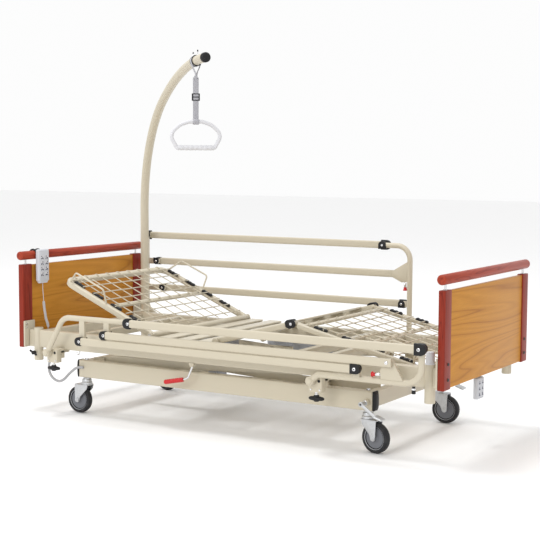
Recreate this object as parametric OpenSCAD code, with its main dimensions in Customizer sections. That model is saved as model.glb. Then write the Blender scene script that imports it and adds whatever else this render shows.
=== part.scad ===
// Adjustable hospital bed: wheeled chassis, scissor lift, four-part mattress platform,
// folding side guards, wooden bed ends, lifting pole, handset.
// +X runs to the foot end, +Y to the far side, Z up, floor at z = 0. Millimetres.

/* [Chassis] */
// Half width over the two chassis tubes
chassis_half_w = 362; // [340:1:380]
// Height of the chassis tube section
chassis_tube_h = 80; // [60:1:100]
// Width of the chassis tube section
chassis_tube_w = 40; // [30:1:50]
// Underside of the chassis tubes
chassis_z = 168.5; // [150:0.5:190]
// Head end of the chassis tubes
chassis_x0 = -777; // [-850:1:-700]
// Foot end of the chassis tubes
chassis_x1 = 722; // [650:1:800]

/* [Casters] */
// Wheel radius
wheel_r = 62.5; // [50:0.5:75]
// Tyre width
wheel_w = 32; // [25:1:40]
// Distance from the swivel axis to the axle
caster_trail = 40; // [30:1:50]
// Swivel axes of the head and foot casters
caster_x = [-745, 695];
// Distance of the swivel axes from the centre line
caster_y = 342; // [320:1:350]

/* [Lift] */
// Length of each scissor arm between its pivot and its roller
arm_l = 1150; // [1100:1:1200]
// Angle of the arms in the lowest position
arm_a = 3; // [2:0.5:6]
// Fixed pivot of the outer arms
arm_pivot = [-692, 241];
// Arm section height
arm_h = 40; // [30:1:50]

/* [Upper frame] */
// Underside of the side rails in the lowest position
rail_z = 297.5; // [280:0.5:320]
// Height of the side rails
rail_h = 80; // [60:1:90]
// Half width over the side rails
rail_half_w = 419; // [400:1:440]
// Width of a side rail
rail_w = 40; // [30:1:50]
// Accessory sleeve positions, head and foot
sleeve_x = [-975, 990];
// Distance of the sleeves from the centre line
sleeve_y = 407; // [395:1:415]
// Bore radius of the accessory sleeves
sleeve_bore_r = 17; // [12:0.5:18]

/* [Bed ends] */
// Inner face of the head posts
head_post_x = -1030; // [-1060:1:-1000]
// Inner face of the foot posts
foot_post_x = 1037; // [1000:1:1060]
// Post thickness along the bed
post_t = 28; // [20:1:35]
// Post width across the bed
post_w = 64; // [50:1:80]
// Top of the posts
post_top = 678; // [640:1:720]
// Centre height of the round hand rods
hand_rod_z = 718; // [690:1:740]
// Radius of the round hand rods
hand_rod_r = 20; // [15:0.5:25]

/* [Mattress platform] */
// Height of the platform pivots
pivot_z = 396; // [390:1:405]
// Backrest pivot
back_x = -345; // [-400:1:-300]
// Backrest length from its pivot
back_l = 545; // [500:1:600]
// Backrest angle at rest
back_a = 23.3; // [0:0.1:70]
// Half width of the backrest
back_half_w = 392; // [380:1:395]
// Thigh section pivot
thigh_x = -9; // [-40:1:20]
// Thigh section length from pivot to knee
thigh_l = 383; // [350:1:420]
// Thigh angle at rest
thigh_a = 14.8; // [0:0.1:30]
// Lower leg section length from the knee
leg_l = 600; // [550:1:650]
// Lower leg slope at rest
leg_a = 13.4; // [0:0.1:25]
// Centre line of the thigh and leg side tubes
leg_y = 367; // [350:1:370]
// Wire radius of the mesh
wire_r = 2.5; // [2:0.25:4]

/* [Side guards] */
// Base pivots of the head and foot arms
guard_x = [-853, 511.5];
// Height of the base pivots
guard_z = 291; // [270:1:310]
// Plane of the arms
guard_arm_y = 489; // [480:1:500]
// Inner face of the three rails
guard_bar_y = 504; // [500:1:510]
// Rail section height
guard_bar_h = 34; // [25:1:36]
// Rail pivots seen from the base pivot with the guard lowered: top, middle, low
guard_pivots = [[479, 167], [346, 106], [209, 69]];

/* [Lifting pole] */
// Radius of the pole
pole_r = 21; // [15:0.5:22]
// Height where the pole starts to bend
pole_bend_z = 910; // [800:1:1000]
// Lower bend: radius and turned angle
pole_bend_1 = [620, 59];
// Upper bend radius
pole_bend_2_r = 1200; // [1000:10:1400]
// Heading of the pole over the bed
pole_heading = -36; // [-90:1:90]

/* [Handset] */
// Case size: depth, width, height
handset_size = [24, 73, 158];

/* [Hidden] */
$fn = 32;
// Running clearance of every pivot
run = 0.05;
rail_top = rail_z + rail_h;
inner_y = chassis_half_w - chassis_tube_w;
post_y = 385;
board_y = 385;
// Upper pivot of the inner scissor arms
arm_rise = arm_l * sin(arm_a);
arm_run = arm_l * cos(arm_a);
knee = [thigh_x + thigh_l * cos(thigh_a), pivot_z + thigh_l * sin(thigh_a)];
cream = [0.86, 0.83, 0.72];
cherry = [0.50, 0.17, 0.10];
honey = [0.80, 0.58, 0.32];
zinc = [0.72, 0.72, 0.70];
chrome = [0.80, 0.80, 0.82];
black = [0.08, 0.08, 0.08];
grey = [0.62, 0.62, 0.62];
red = [0.75, 0.08, 0.06];
white = [0.92, 0.92, 0.90];

// Route of the lift's cable conduit, from the frame down to the chassis
conduit_pts = [[-900, -397, 297.3], [-900, -397, 280], [-906, -396, 260], [-918, -395, 241], [-928, -392, 218], [-931, -390, 198], [-928, -388, 179],
               [-920, -386, 163], [-909, -384, 152], [-895, -383, 145], [-879, -382, 142], [-865, -381, 145],
               [-852, -380, 152], [-841, -379, 161], [-830, -378, 172], [-818, -376, 184], [-804, -374, 196],
               [-788, -371, 208], [-768, -369, 215], [-745, -368.3, 216]];
// Route of the handset's curly cord, as one tube of its outer diameter
handset_cord_pts = [[-1006, -341, 586.9], [-1006, -341, 560], [-1004, -340, 530], [-1003, -339, 500], [-1001, -338, 470],
                    [-998, -336, 445], [-995, -334, 420], [-989, -331, 400], [-986, -330, 385], [-986, -330, 370.1]];

// ---- helpers ----

// Unit direction of a route at one of its points
function route_dir(p, i) = let(d = p[min(i + 1, len(p) - 1)] - p[max(i - 1, 0)]) d / norm(d);
// Side vector of a ring, kept close to a fixed direction
function route_side(d, u) = let(s = u - d * (u * d)) s / norm(s);

// Closed tube of radius r along a route, with flat ends
module route_tube(p, r, u, n = 10) {
    m = len(p);
    rings = [for (i = [0 : m - 1]) let(d = route_dir(p, i), a = route_side(d, u), b = cross(d, a))
             for (k = [0 : n - 1]) p[i] + r * (a * cos(360 * k / n) + b * sin(360 * k / n))];
    polyhedron(rings, concat(
        [[for (k = [0 : n - 1]) k]],
        [for (i = [0 : m - 2]) for (k = [0 : n - 1])
            [i * n + k, (i + 1) * n + k, (i + 1) * n + (k + 1) % n]],
        [for (i = [0 : m - 2]) for (k = [0 : n - 1])
            [i * n + k, (i + 1) * n + (k + 1) % n, i * n + (k + 1) % n]],
        [[for (k = [n - 1 : -1 : 0]) (m - 1) * n + k]]), convexity = 4);
}

module box(a, b) { translate(a) cube(b - a); }

// Box of a size centred in x and y, standing on z
module block(x, y, z, sx, sy, sz) { translate([x - sx / 2, y - sy / 2, z]) cube([sx, sy, sz]); }

module both_sides() { children(); mirror([0, 1, 0]) children(); }

module cyl_x(y, z, x0, x1, r) { translate([x0, y, z]) rotate([0, 90, 0]) cylinder(r = r, h = x1 - x0); }

module cyl_y(x, z, y0, y1, r) { translate([x, y0, z]) rotate([-90, 0, 0]) cylinder(r = r, h = y1 - y0); }

module cyl_z(x, y, z0, z1, r) { translate([x, y, z0]) cylinder(r = r, h = z1 - z0); }

// Round bar between two points
module strut(p, q, r) {
    v = q - p;
    translate(p) rotate([0, acos(v[2] / norm(v)), atan2(v[1], v[0])]) cylinder(r = r, h = norm(v));
}

// Round bar through a list of points, with slightly proud ball corners
module path(pts, r) {
    for (i = [0 : len(pts) - 2]) strut(pts[i], pts[i + 1], r);
    for (i = [1 : len(pts) - 2]) translate(pts[i]) sphere(r + 0.3);
}

// Flat plate with an outline in the x-z plane
module plate_y(pts, y0, y1) { translate([0, y1, 0]) rotate([90, 0, 0]) linear_extrude(y1 - y0) polygon(pts); }

// Slim plate with round ends between two x-z points
module link_y(p, q, w, y0, y1) {
    l = norm(q - p);
    translate([p[0], 0, p[1]]) rotate([0, -atan2(q[1] - p[1], q[0] - p[0]), 0]) {
        box([0, y0, -w / 2], [l, y1, w / 2]);
        cyl_y(0, 0, y0, y1, w / 2);
        cyl_y(l, 0, y0, y1, w / 2);
    }
}

// Part of a ring tube in the x-z plane
module arc_xz(big_r, r, a0, a1) {
    rotate([90, 0, 0]) rotate([0, 0, a0]) rotate_extrude(angle = a1 - a0, $fn = 96) translate([big_r, 0]) circle(r);
}

// Part of a ring tube in the x-y plane
module arc_xy(big_r, r, a0, a1) {
    rotate([0, 0, a0]) rotate_extrude(angle = a1 - a0, $fn = 96) translate([big_r, 0]) circle(r);
}

// Rectangular hollow section along x
module tube_x(x0, x1, y0, y1, z0, z1, wall = 3) {
    difference() {
        box([x0, y0, z0], [x1, y1, z1]);
        box([x0 - 1, y0 + wall, z0 + wall], [x1 + 1, y1 - wall, z1 - wall]);
    }
}

// Rectangular hollow section along y
module tube_y(x0, x1, y0, y1, z0, z1, wall = 3) {
    difference() {
        box([x0, y0, z0], [x1, y1, z1]);
        box([x0 + wall, y0 - 1, z0 + wall], [x1 - wall, y1 + 1, z1 - wall]);
    }
}

// ---- chassis ----

module chassis_tubes() {
    z1 = chassis_z + chassis_tube_h;
    color(cream) both_sides() difference() {
        union() {
            tube_x(chassis_x0, chassis_x1, inner_y, chassis_half_w, chassis_z, z1);
            for (x = caster_x) cyl_z(x, caster_y, chassis_z, z1 - 3, 16);
        }
        // Sockets for the caster stems
        for (x = caster_x) cyl_z(x, caster_y, chassis_z - 1, z1 - 6, 11 + run);
    }
}

module chassis_cross_members() {
    px = arm_pivot[0];
    pz = arm_pivot[1];
    chan_x0 = px + arm_l * cos(24) - 30;
    color(cream) {
        tube_y(-768, -728, -inner_y, inner_y, 186, 246);
        tube_y(690, 730, -inner_y, inner_y, 186, 246);
        tube_y(-300, -270, -inner_y, inner_y, 196, 228);
        both_sides() {
            // Fixed pivot of the outer arm
            box([px - 28, 311, chassis_z + 50], [px + 28, inner_y, chassis_z + 90]);
            cyl_y(px, pz, 292.5, 312, 10);
            // Channel for the lower roller, carried on the foot cross beam
            box([chan_x0, 241, 216], [700, 245, 262]);
            box([chan_x0, 241, 216], [512, 262, 219.5]);
            box([chan_x0, 241, 258.5], [512, 262, 262]);
        }
        // Hangers of the lift actuator
        both_sides() box([-296, 46, 140], [-274, 52, 200]);
        // Bosses for the brake levers
        both_sides() difference() {
            cyl_y(702, 205, chassis_half_w, 385, 13);
            cyl_y(702, 205, 363, 386, 5 + run);
        }
    }
}

module chassis_end_caps() {
    zc = chassis_z + chassis_tube_h / 2;
    color(black) both_sides() for (e = [[chassis_x0, -1], [chassis_x1, 1]]) {
        translate([e[0], caster_y, zc]) {
            box([e[1] > 0 ? 0.01 : -6, -20, -40], [e[1] > 0 ? 6 : -0.01, 20, 40]);
            intersection() {
                translate([-e[1] * 122, 0, 0]) rotate([0, 0, 0]) sphere(r = 136, $fn = 96);
                box([e[1] > 0 ? 5.9 : -16, -18, -38], [e[1] > 0 ? 16 : -5.9, 18, 38]);
            }
        }
    }
}

// Caster fork seen from its swivel axis, trailing along +x
module caster_fork() {
    color(zinc) {
        cyl_z(0, 0, 150, 236, 11);
        translate([0, 0, 160.5]) cylinder(r = 19, h = 7.5);
        translate([0, 0, 136]) cylinder(r = 25, h = 24.6);
        block(15, 0, 131, 70, 50, 6);
        both_sides() {
            plate_y([[-20, 131], [56, 131], [56, 118], [54, 52], [26, 52]], 20, 25);
            cyl_y(caster_trail, wheel_r, 20, 28, 11);
        }
        cyl_y(caster_trail, wheel_r, -21, 21, 6);
    }
}

module caster_wheel() {
    color(black) translate([caster_trail, 0, wheel_r]) difference() {
        union() {
            rotate([90, 0, 0]) rotate_extrude($fn = 96)
                polygon([[20, -10], [50, -9], [52, -16], [58, -16], [61.5, -10], [wheel_r, 0],
                         [61.5, 10], [58, 16], [52, 16], [50, 9], [20, 10]]);
            cyl_y(0, 0, -17, 17, 21);
        }
        cyl_y(0, 0, -18, 18, 6 + run);
    }
}

// Place a caster part: side, end, and its swivel at rest
module at_caster(side, end, turn = 0) {
    translate([caster_x[end], side * caster_y, 0]) rotate([0, 0, (end == 0 ? 180 : 0) + turn]) children();
}

module caster_fork_nh() { at_caster(-1, 0) caster_fork(); }
module caster_fork_fh() { at_caster(1, 0) caster_fork(); }
module caster_fork_nf() { at_caster(-1, 1, -10) caster_fork(); }
module caster_fork_ff() { at_caster(1, 1, 3) caster_fork(); }
module caster_wheel_nh() { at_caster(-1, 0) caster_wheel(); }
module caster_wheel_fh() { at_caster(1, 0) caster_wheel(); }
module caster_wheel_nf() { at_caster(-1, 1, -10) caster_wheel(); }
module caster_wheel_ff() { at_caster(1, 1, 3) caster_wheel(); }

// Foot lever outside the far chassis tube; the near one is its mirror image
module brake_lever() {
    color(zinc) {
        cyl_y(702, 205, 385.4, 426, 10);
        cyl_y(702, 205, 364, 386, 5);
        link_y([702, 205], [762, 162], 12, 417, 424);
        translate([776, 410, 155]) rotate([0, 18, 0]) block(0, 0, -4, 40, 38, 9);
    }
}

module brake_lever_nf() { mirror([0, 1, 0]) brake_lever(); }
module brake_lever_ff() { brake_lever(); }

// ---- lift ----

// One scissor arm from its pivot at the origin, with its roller at the far end
module scissor_arm(y0, y1) {
    difference() {
        link_y([0, 0], [arm_l, 0], arm_h, y0, y1);
        cyl_y(0, 0, y0 - 1, y1 + 1, 10 + run);
        // Hollow section between the joints
        box([40, y0 + 3, -arm_h / 2 + 3], [arm_l / 2 - 40, y1 - 3, arm_h / 2 - 3]);
        box([arm_l / 2 + 40, y0 + 3, -arm_h / 2 + 3], [arm_l - 240, y1 - 3, arm_h / 2 - 3]);
    }
}

module scissor_outer_arms() {
    color(cream) translate([arm_pivot[0], 0, arm_pivot[1]]) rotate([0, -arm_a, 0]) {
        both_sides() {
            scissor_arm(292.6, 308);
            cyl_y(arm_l, 0, 308, 320.5, 14);
            cyl_y(arm_l / 2, 0, 256, 293, 9);
        }
        difference() {
            cyl_y(0, 0, -292.6, 292.6, 15);
            both_sides() cyl_y(0, 0, 291, 293, 10 + run);
        }
        // Crank of the lift
        both_sides() rotate([0, arm_a + 9.75, 0]) link_y([0, 0], [0, -70], 24, 12, 19);
        rotate([0, arm_a + 9.75, 0]) cyl_y(0, -70, -19, 19, 6);
    }
}

module scissor_inner_arms() {
    color(cream) translate([arm_pivot[0], 0, arm_pivot[1] + arm_rise]) rotate([0, arm_a, 0]) {
        both_sides() {
            difference() {
                union() {
                    scissor_arm(262.6, 278);
                    cyl_y(arm_l / 2, 0, 262.6, 278, 24);
                }
                cyl_y(arm_l / 2, 0, 262, 279, 13.5);
            }
            cyl_y(arm_l, 0, 246.5, 263, 14);
        }
        cyl_y(940, 0, -263, 263, 15);
    }
}

module lift_actuator() {
    color(grey) {
        difference() {
            cyl_x(0, 171.5, -600, -330, 22);
            cyl_x(0, 171.5, -601, -400, 11 + run);
        }
        box([-335, -46, 139], [-235, 46, 195.9]);
    }
}

module lift_rod() {
    color(chrome) difference() {
        union() {
            cyl_x(0, 171.5, -700, -430, 11);
            cyl_y(-703.9, 171.5, -11, 11, 14);
        }
        cyl_y(-703.9, 171.5, -12, 12, 7.5);
    }
}

// ---- upper frame ----

// The two side rails with their sleeves, flanges and bearings
module upper_frame() {
    color(cream) difference() {
        union() {
            both_sides() {
                tube_x(head_post_x + 8, foot_post_x - 8, rail_half_w - rail_w, rail_half_w, rail_z, rail_top);
                // Flange plates that carry the bed ends
                box([head_post_x, 379, 298], [head_post_x + 8, 449, 418]);
                box([foot_post_x - 8, 379, 298], [foot_post_x, 449, 418]);
                for (x = sleeve_x) cyl_z(x, sleeve_y, 238, 388, 21);
                // Bearings of the backrest and of the thigh section
                difference() {
                    union() {
                        plate_y([[back_x - 22, rail_top - 1], [back_x + 22, rail_top - 1],
                                 [back_x + 12, 410], [back_x - 12, 410]], 396, 404);
                        plate_y([[thigh_x - 22, rail_top - 1], [thigh_x + 22, rail_top - 1],
                                 [thigh_x + 12, 410], [thigh_x - 12, 410]], 385, 393);
                    }
                    for (x = [back_x, thigh_x]) cyl_y(x, pivot_z, 380, 410, 8 + run);
                }
            }
            // Ears of the release lever
            for (y = [-419, -404]) difference() {
                plate_y([[-124, rail_z + 1], [-124, 288], [-112, 280], [-100, 288], [-100, rail_z + 1]], y, y + 3);
                cyl_y(-112, 290, y - 1, y + 4, 3 + run);
            }
        }
        both_sides() for (x = sleeve_x) cyl_z(x, sleeve_y, 230, 400, sleeve_bore_r);
        // Thread for the wing knob
        cyl_y(sleeve_x[0], 275, -440, -400, 4 + run);
    }
}

// Tubes between the side rails
module frame_cross_tubes() {
    w = rail_half_w - rail_w - 0.01;
    color(cream) {
        tube_y(-1000, -970, -w, w, 320, 370);
        tube_y(1000, 1029, -w, w, 300, 350);
        for (x = [-740, -420, 345, 500]) tube_y(x - 15, x + 15, -w, w, 336, 374);
    }
}

// Members over the lift, with the inner arm's fixed pivot and the upper roller's channel
module frame_members() {
    px = arm_pivot[0];
    pz = arm_pivot[1] + arm_rise;
    color(cream) both_sides() {
        for (e = [[-724.99, -435.01], [-404.99, 329.99], [360.01, 484.99]]) box([e[0], 280.5, 336], [e[1], 290.5, 374]);
        box([px - 20, 281.5, pz - 18], [px + 20, 289.5, 337]);
        cyl_y(px, pz, 262.7, 282, 10);
        box([340, 321.5, pz - 19], [486, 326, 335.99]);
        box([340, 310.5, pz - 18.5], [486, 322, pz - 15]);
        box([340, 310.5, pz + 19], [486, 322, pz + 22.5]);
    }
}

module seat_slats() {
    color(cream) for (x = [-282, -177, -72]) {
        difference() {
            box([x - 33, -392, rail_top + 4], [x + 33, 392, rail_top + 14]);
            box([x - 31, -385, rail_top + 6], [x + 31, 385, rail_top + 12]);
        }
        both_sides() box([x - 25, 382, rail_top + 0.01], [x + 25, 392, rail_top + 5]);
    }
}

module bed_end_posts() {
    color(cherry) both_sides() for (x = [head_post_x - post_t, foot_post_x])
        translate([x, post_y, rail_z - 2]) {
            cube([post_t, post_w, post_top - rail_z + 2 - 8]);
            translate([4, 4, 0]) cube([post_t - 8, post_w - 8, post_top - rail_z + 2]);
        }
}

module bed_end_boards() {
    color(honey) for (x = [head_post_x - post_t + 5, foot_post_x + 5])
        box([x, -board_y, 300], [x + 18, board_y, 674]);
}

module hand_rods() {
    color(cherry) for (x = [head_post_x, foot_post_x + post_t]) translate([x - post_t / 2, 0, 0]) {
        cyl_y(0, hand_rod_z, -448, 448, hand_rod_r);
        both_sides() cyl_y(0, hand_rod_z, 447, 455, hand_rod_r - 6);
    }
}

// Standoffs under the hand rods and the bolts of the bed ends
module bed_end_fittings() {
    color(chrome) both_sides() {
        for (x = [head_post_x, foot_post_x + post_t]) translate([x - post_t / 2, 0, 0])
            cyl_z(0, post_y + post_w / 2, post_top - 0.01, hand_rod_z - hand_rod_r + 1, 5);
        for (z = [335, 395]) {
            cyl_x(post_y + post_w / 2, z, foot_post_x + post_t, foot_post_x + post_t + 4, 6);
        }
        for (z = [387, 405]) cyl_x(437, z, head_post_x + 8.01, head_post_x + 12, 6);
    }
}

// Guard brackets clamped under the rails, with the base pins of the guards
module guard_clamps() {
    color(cream) both_sides() for (x = guard_x) {
        k = x < 0 ? x + 13 : x + 12;
        box([k - 28, 419.01, 262], [k + 30, 446, 305]);
        box([k - 28, 385, 285], [k + 30, 446, rail_z - 0.01]);
        difference() {
            box([k - 24, 430, 244], [k + 26, 474, 264]);
            cyl_z(k, 460, 240, 268, 6 + run);
        }
        box([k - 28, 440, 262], [k + 30, 474, 306]);
        cyl_y(x, guard_z, 470, 503, 8);
        cyl_y(x, guard_z, 502.3, 505, 12);
    }
}

module frame_trim() {
    color(white) {
        cyl_z(sleeve_x[1], -sleeve_y, 388.01, 437, 17);
        cyl_z(sleeve_x[1], -sleeve_y, 388.01, 392, 21);
    }
    // Accessory hooks under the rails
    color(chrome) both_sides() {
        strut([-740, 399, rail_z], [-740, 399, 287], 3);
        translate([-748, 399, 287]) arc_xz(8, 3, 180, 360);
    }
}

// Two push drives under the seat, one for the backrest and one for the thigh section
module drive_unit() {
    color(grey) {
        box([170, -38, 318], [329.99, 38, 372]);
        cyl_x(0, 352, 22, 172, 14);
        box([-230, -150, 318], [-90, -74, 372]);
        cyl_x(-112, 350, -300, -228, 14);
    }
    color(cream) box([-250, -280.49, 338], [-225, 280.49, 345]);
}

module wing_knob() {
    color(black) translate([sleeve_x[0], 0, 275]) {
        cyl_y(0, 0, -452, -434, 9);
        rotate([0, 25, 0]) box([-23, -450, -5], [23, -442, 5]);
    }
    color(chrome) cyl_y(sleeve_x[0], 275, -440, -424.5, 4);
}

// ---- mattress platform ----

module at_backrest() { translate([back_x, 0, pivot_z]) rotate([0, back_a, 0]) children(); }

module backrest_frame() {
    w = back_half_w;
    corner = 60;
    color(cream) at_backrest() {
        both_sides() {
            difference() {
                box([-back_l + corner, w - 25, -13], [10, w, 13]);
                box([-back_l + corner + 20, w - 22.5, -10.5], [-20, w - 2.5, 10.5]);
            }
            translate([-back_l + corner, w - 13 - corner + 13, 0]) arc_xy(corner - 13, 13, 90, 180);
            cyl_y(0, 0, w - 1, 405, 8);
        }
        cyl_y(-back_l + 13, 0, -w + corner, w - corner, 13);
        cyl_y(0, 0, -w + 1, w - 1, 14);
        cyl_y(-270, 0, -w + 20, w - 20, 10);
        // Lever pushed by the drive
        link_y([0, 0], [22, -40], 26, -120, -104);
    }
}

module wire_x(x0, x1, y, z) { cyl_x(y, z, x0, x1, wire_r); }

module backrest_mesh() {
    color(cream) at_backrest() {
        for (y = [-320 : 80 : 320]) {
            wire_x(-back_l + 12, -20, y, 15.6);
            translate([-back_l + 13, y, 0]) arc_xz(15.9, wire_r, 90, 180);
        }
        for (x = [-500 : 66 : -38]) cyl_y(x, 19, -375, 375, wire_r);
        // Mattress loops at both edges
        both_sides() {
            strut([-506, 379, 15.9], [-470, 411, 76], 4);
            strut([-470, 411, 76], [-300, 411, 76], 4);
            strut([-300, 411, 76], [-281, 381, 15.4], 4);
            for (x = [-470, -300]) translate([x, 411, 76]) sphere(4.3);
        }
    }
    color(black) at_backrest() both_sides() for (x = [-434 : 132 : -38])
        box([x - 10, 366, 13.01], [x + 10, 386, 22]);
}

module at_thigh() { translate([thigh_x, 0, pivot_z]) rotate([0, -thigh_a, 0]) children(); }

module thigh_frame() {
    color(cream) at_thigh() {
        both_sides() {
            difference() {
                box([0, leg_y - 10, -12], [thigh_l - 2, leg_y + 10, 12]);
                box([20, leg_y - 7.5, -9.5], [thigh_l - 20, leg_y + 7.5, 9.5]);
            }
            cyl_y(0, 0, leg_y - 10, leg_y + 10, 14);
            cyl_y(thigh_l, 0, leg_y - 10, leg_y + 10, 12);
            cyl_y(0, 0, leg_y + 9, 394, 8);
            // Knee pin
            cyl_y(thigh_l, 0, 340, leg_y - 9, 7);
        }
        cyl_y(0, 0, -leg_y, leg_y, 14);
        for (x = [90, 190, 290]) difference() {
            box([x - 33, -leg_y, 6], [x + 33, leg_y, 14]);
            box([x - 31, -leg_y + 12, 7.5], [x + 31, leg_y - 12, 12.5]);
        }
        link_y([0, 0], [-8, -34], 26, -8, 8);
    }
}

module knee_caps() {
    color(black) at_thigh() both_sides() {
        translate([thigh_l, 0, 0]) {
            plate_y([[-30, -6], [-30, 14], [-18, 22], [8, 20], [16, 10], [17, -8], [8, -16], [-14, -16]],
                    leg_y + 10.01, leg_y + 18);
            plate_y([[-30, 12.01], [-30, 14], [-18, 22], [8, 20], [14, 12.01]], leg_y - 9, leg_y + 11);
        }
        cyl_y(thigh_l, 0, leg_y + 17, leg_y + 20, 7);
    }
}

module at_leg() { translate([knee[0], 0, knee[1]]) rotate([0, leg_a, 0]) children(); }

module leg_frame() {
    corner = 50;
    w = leg_y + 10;
    color(cream) at_leg() {
        both_sides() {
            difference() {
                box([20, leg_y - 10, -12], [leg_l - corner, w, 12]);
                box([45, leg_y - 7.5, -9.5], [leg_l - corner - 20, w - 2.5, 9.5]);
            }
            difference() {
                union() {
                    link_y([0, 0], [40, 0], 22, 348, 356.4);
                    box([20, 350, -11], [40, leg_y - 8, 11]);
                }
                cyl_y(0, 0, 347, 357.5, 7 + run);
            }
            translate([leg_l - corner, w - corner, 0]) arc_xy(corner - 10, 10, 0, 90);
        }
        cyl_y(leg_l - 10, 0, -w + corner, w - corner, 10);
        cyl_y(300, 0, -leg_y, leg_y, 9);
        cyl_y(40, 0, -leg_y, leg_y, 9);
    }
}

module leg_mesh() {
    color(cream) at_leg() {
        for (y = [-320 : 80 : 320]) wire_x(42, leg_l - 12, y, 12.7);
        for (x = [70 : 66 : 560]) cyl_y(x, 16, -362, 362, wire_r);
        both_sides() {
            strut([430, 364, 12.01], [430, 364, 60], 4);
            strut([550, 364, 12.01], [550, 364, 60], 4);
            strut([442, 364, 72], [538, 364, 72], 4);
            translate([442, 364, 60]) arc_xz(12, 4.1, 90, 180);
            translate([538, 364, 60]) arc_xz(12, 4.1, 0, 90);
        }
    }
    color(black) at_leg() both_sides() for (x = [136 : 132 : 560]) box([x - 10, 352, 12.01], [x + 10, 372, 21]);
}

// ---- side guards ----

// Turn a guard arm about its base pivot from lowered to raised
module at_guard(end, up) {
    translate([guard_x[end], 0, guard_z]) rotate([0, up ? -90 : 0, 0]) children();
}

// Pins that the three rails turn on
module guard_pins(r) {
    for (p = guard_pivots) {
        cyl_y(p[0], p[1], 486, 523.5, r);
        cyl_y(p[0], p[1], 522.4, 525.5, 9);
    }
}

module guard_head_arm(up) {
    lugs = guard_pivots;
    top = lugs[0];
    bend = 40;
    a = atan2(top[1], 96);
    t = bend * tan(a / 2);
    color(cream) at_guard(0, up) {
        difference() {
            union() {
                cyl_y(0, 0, guard_arm_y - 13, 502, 18);
                strut([0, guard_arm_y, 0], [96 - 0.96 * t * cos(a), guard_arm_y, top[1] - 0.96 * t * sin(a)], 12.5);
                translate([96 + t, guard_arm_y, top[1] - bend]) arc_xz(bend, 12.3, 90, 90 + a);
                strut([96 + t, guard_arm_y, top[1]], [top[0] + 7, guard_arm_y, top[1]], 12.5);
                for (p = [lugs[1], lugs[2]]) link_y(p, [p[0], top[1]], 30, 485, 500);
                cyl_y(top[0], top[1], 485, 500, 16);
                // End covers on the inner side
                cyl_y(top[0], top[1], 474.5, 486, 20);
                for (p = [lugs[1], lugs[2]]) cyl_y(p[0], p[1], 480, 485.5, 17);
            }
            cyl_y(0, 0, 470, 510, 8 + run);
        }
        guard_pins(6);
    }
}

module guard_foot_arm(up) {
    lugs = guard_pivots;
    bend = 65;
    low = 29;
    color(cream) at_guard(1, up) {
        difference() {
            union() {
                cyl_y(0, 0, guard_arm_y - 13, 502, 18);
                path([[0, guard_arm_y, 0], [34, guard_arm_y, low], [lugs[0][0] - bend, guard_arm_y, low]], 12.5);
                translate([lugs[0][0] - bend, guard_arm_y, low + bend]) arc_xz(bend, 12.3, 270, 360);
                strut([lugs[0][0], guard_arm_y, low + bend], [lugs[0][0], guard_arm_y, lugs[0][1]], 12.5);
                cyl_y(lugs[0][0], lugs[0][1], 489, 500, 16);
                cyl_y(lugs[0][0], lugs[0][1], 474.5, 490, 20);
                cyl_y(lugs[2][0], lugs[2][1], 483, 489.5, 17);
                // Latch plate around the middle rail's pivot
                plate_y([[309.5, 70], [313.5, 37], [408.5, 37], [364.5, 111], [354, 120], [337.5, 120]], 486, 500);
                link_y(lugs[2], [lugs[2][0], low], 28, 489, 500);
                // Stop plug under the tube
                if (!up) cyl_z(448, guard_arm_y, -8, low, 8);
            }
            cyl_y(0, 0, 470, 510, 8 + run);
            cyl_x(guard_arm_y + 3, 53, 300, 345, 4 + run);
        }
        guard_pins(6 - 0.35);
    }
}

// One rail with its two end caps, in the plane of the pivots at its height
module guard_rail(i, up) {
    a = guard_pivots[i];
    p = up ? [-a[1], a[0]] : a;
    cap_h = [[46, 46], [38, 46], [38, 38]][i];
    x0 = guard_x[0] + p[0];
    x1 = guard_x[1] + p[0];
    z = guard_z + p[1];
    color(cream) difference() {
        union() {
            box([x0 - 10, guard_bar_y, z - guard_bar_h / 2], [x1 + 10, guard_bar_y + 16, z + guard_bar_h / 2]);
            for (e = [[x0, cap_h[0], -1], [x1, cap_h[1], 1]]) {
                cyl_y(e[0] + e[2] * 6, z, guard_bar_y - 0.5, guard_bar_y + 18, e[1] / 2);
                box([e[0] - 20, guard_bar_y - 0.5, z - e[1] / 2], [e[0] + 20, guard_bar_y + 18, z + e[1] / 2]);
            }
        }
        // Hollow between the ends
        box([x0 + 24, guard_bar_y + 3, z - guard_bar_h / 2 + 3], [x1 - 24, guard_bar_y + 13, z + guard_bar_h / 2 - 3]);
        cyl_y(x0, z, 480, 540, 6 + run);
        cyl_y(x1, z, 480, 540, 6 + run);
    }
}

module guard_plunger(up) {
    at_guard(1, up) translate([0, guard_arm_y + 3, 53]) {
        color(chrome) cyl_x(0, 0, 300, 340, 4);
        color(red) cyl_x(0, 0, 272, 288, 11);
        color(chrome) cyl_x(0, 0, 287, 308, 6.5);
    }
}

module near() { mirror([0, 1, 0]) children(); }

module guard_head_arm_near() { near() guard_head_arm(false); }
module guard_foot_arm_near() { near() guard_foot_arm(false); }
module guard_top_rail_near() { near() guard_rail(0, false); }
module guard_middle_rail_near() { near() guard_rail(1, false); }
module guard_low_rail_near() { near() guard_rail(2, false); }
module guard_plunger_near() { near() guard_plunger(false); }
module guard_head_arm_far() { guard_head_arm(true); }
module guard_foot_arm_far() { guard_foot_arm(true); }
module guard_top_rail_far() { guard_rail(0, true); }
module guard_middle_rail_far() { guard_rail(1, true); }
module guard_low_rail_far() { guard_rail(2, true); }
module guard_plunger_far() { guard_plunger(true); }

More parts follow.
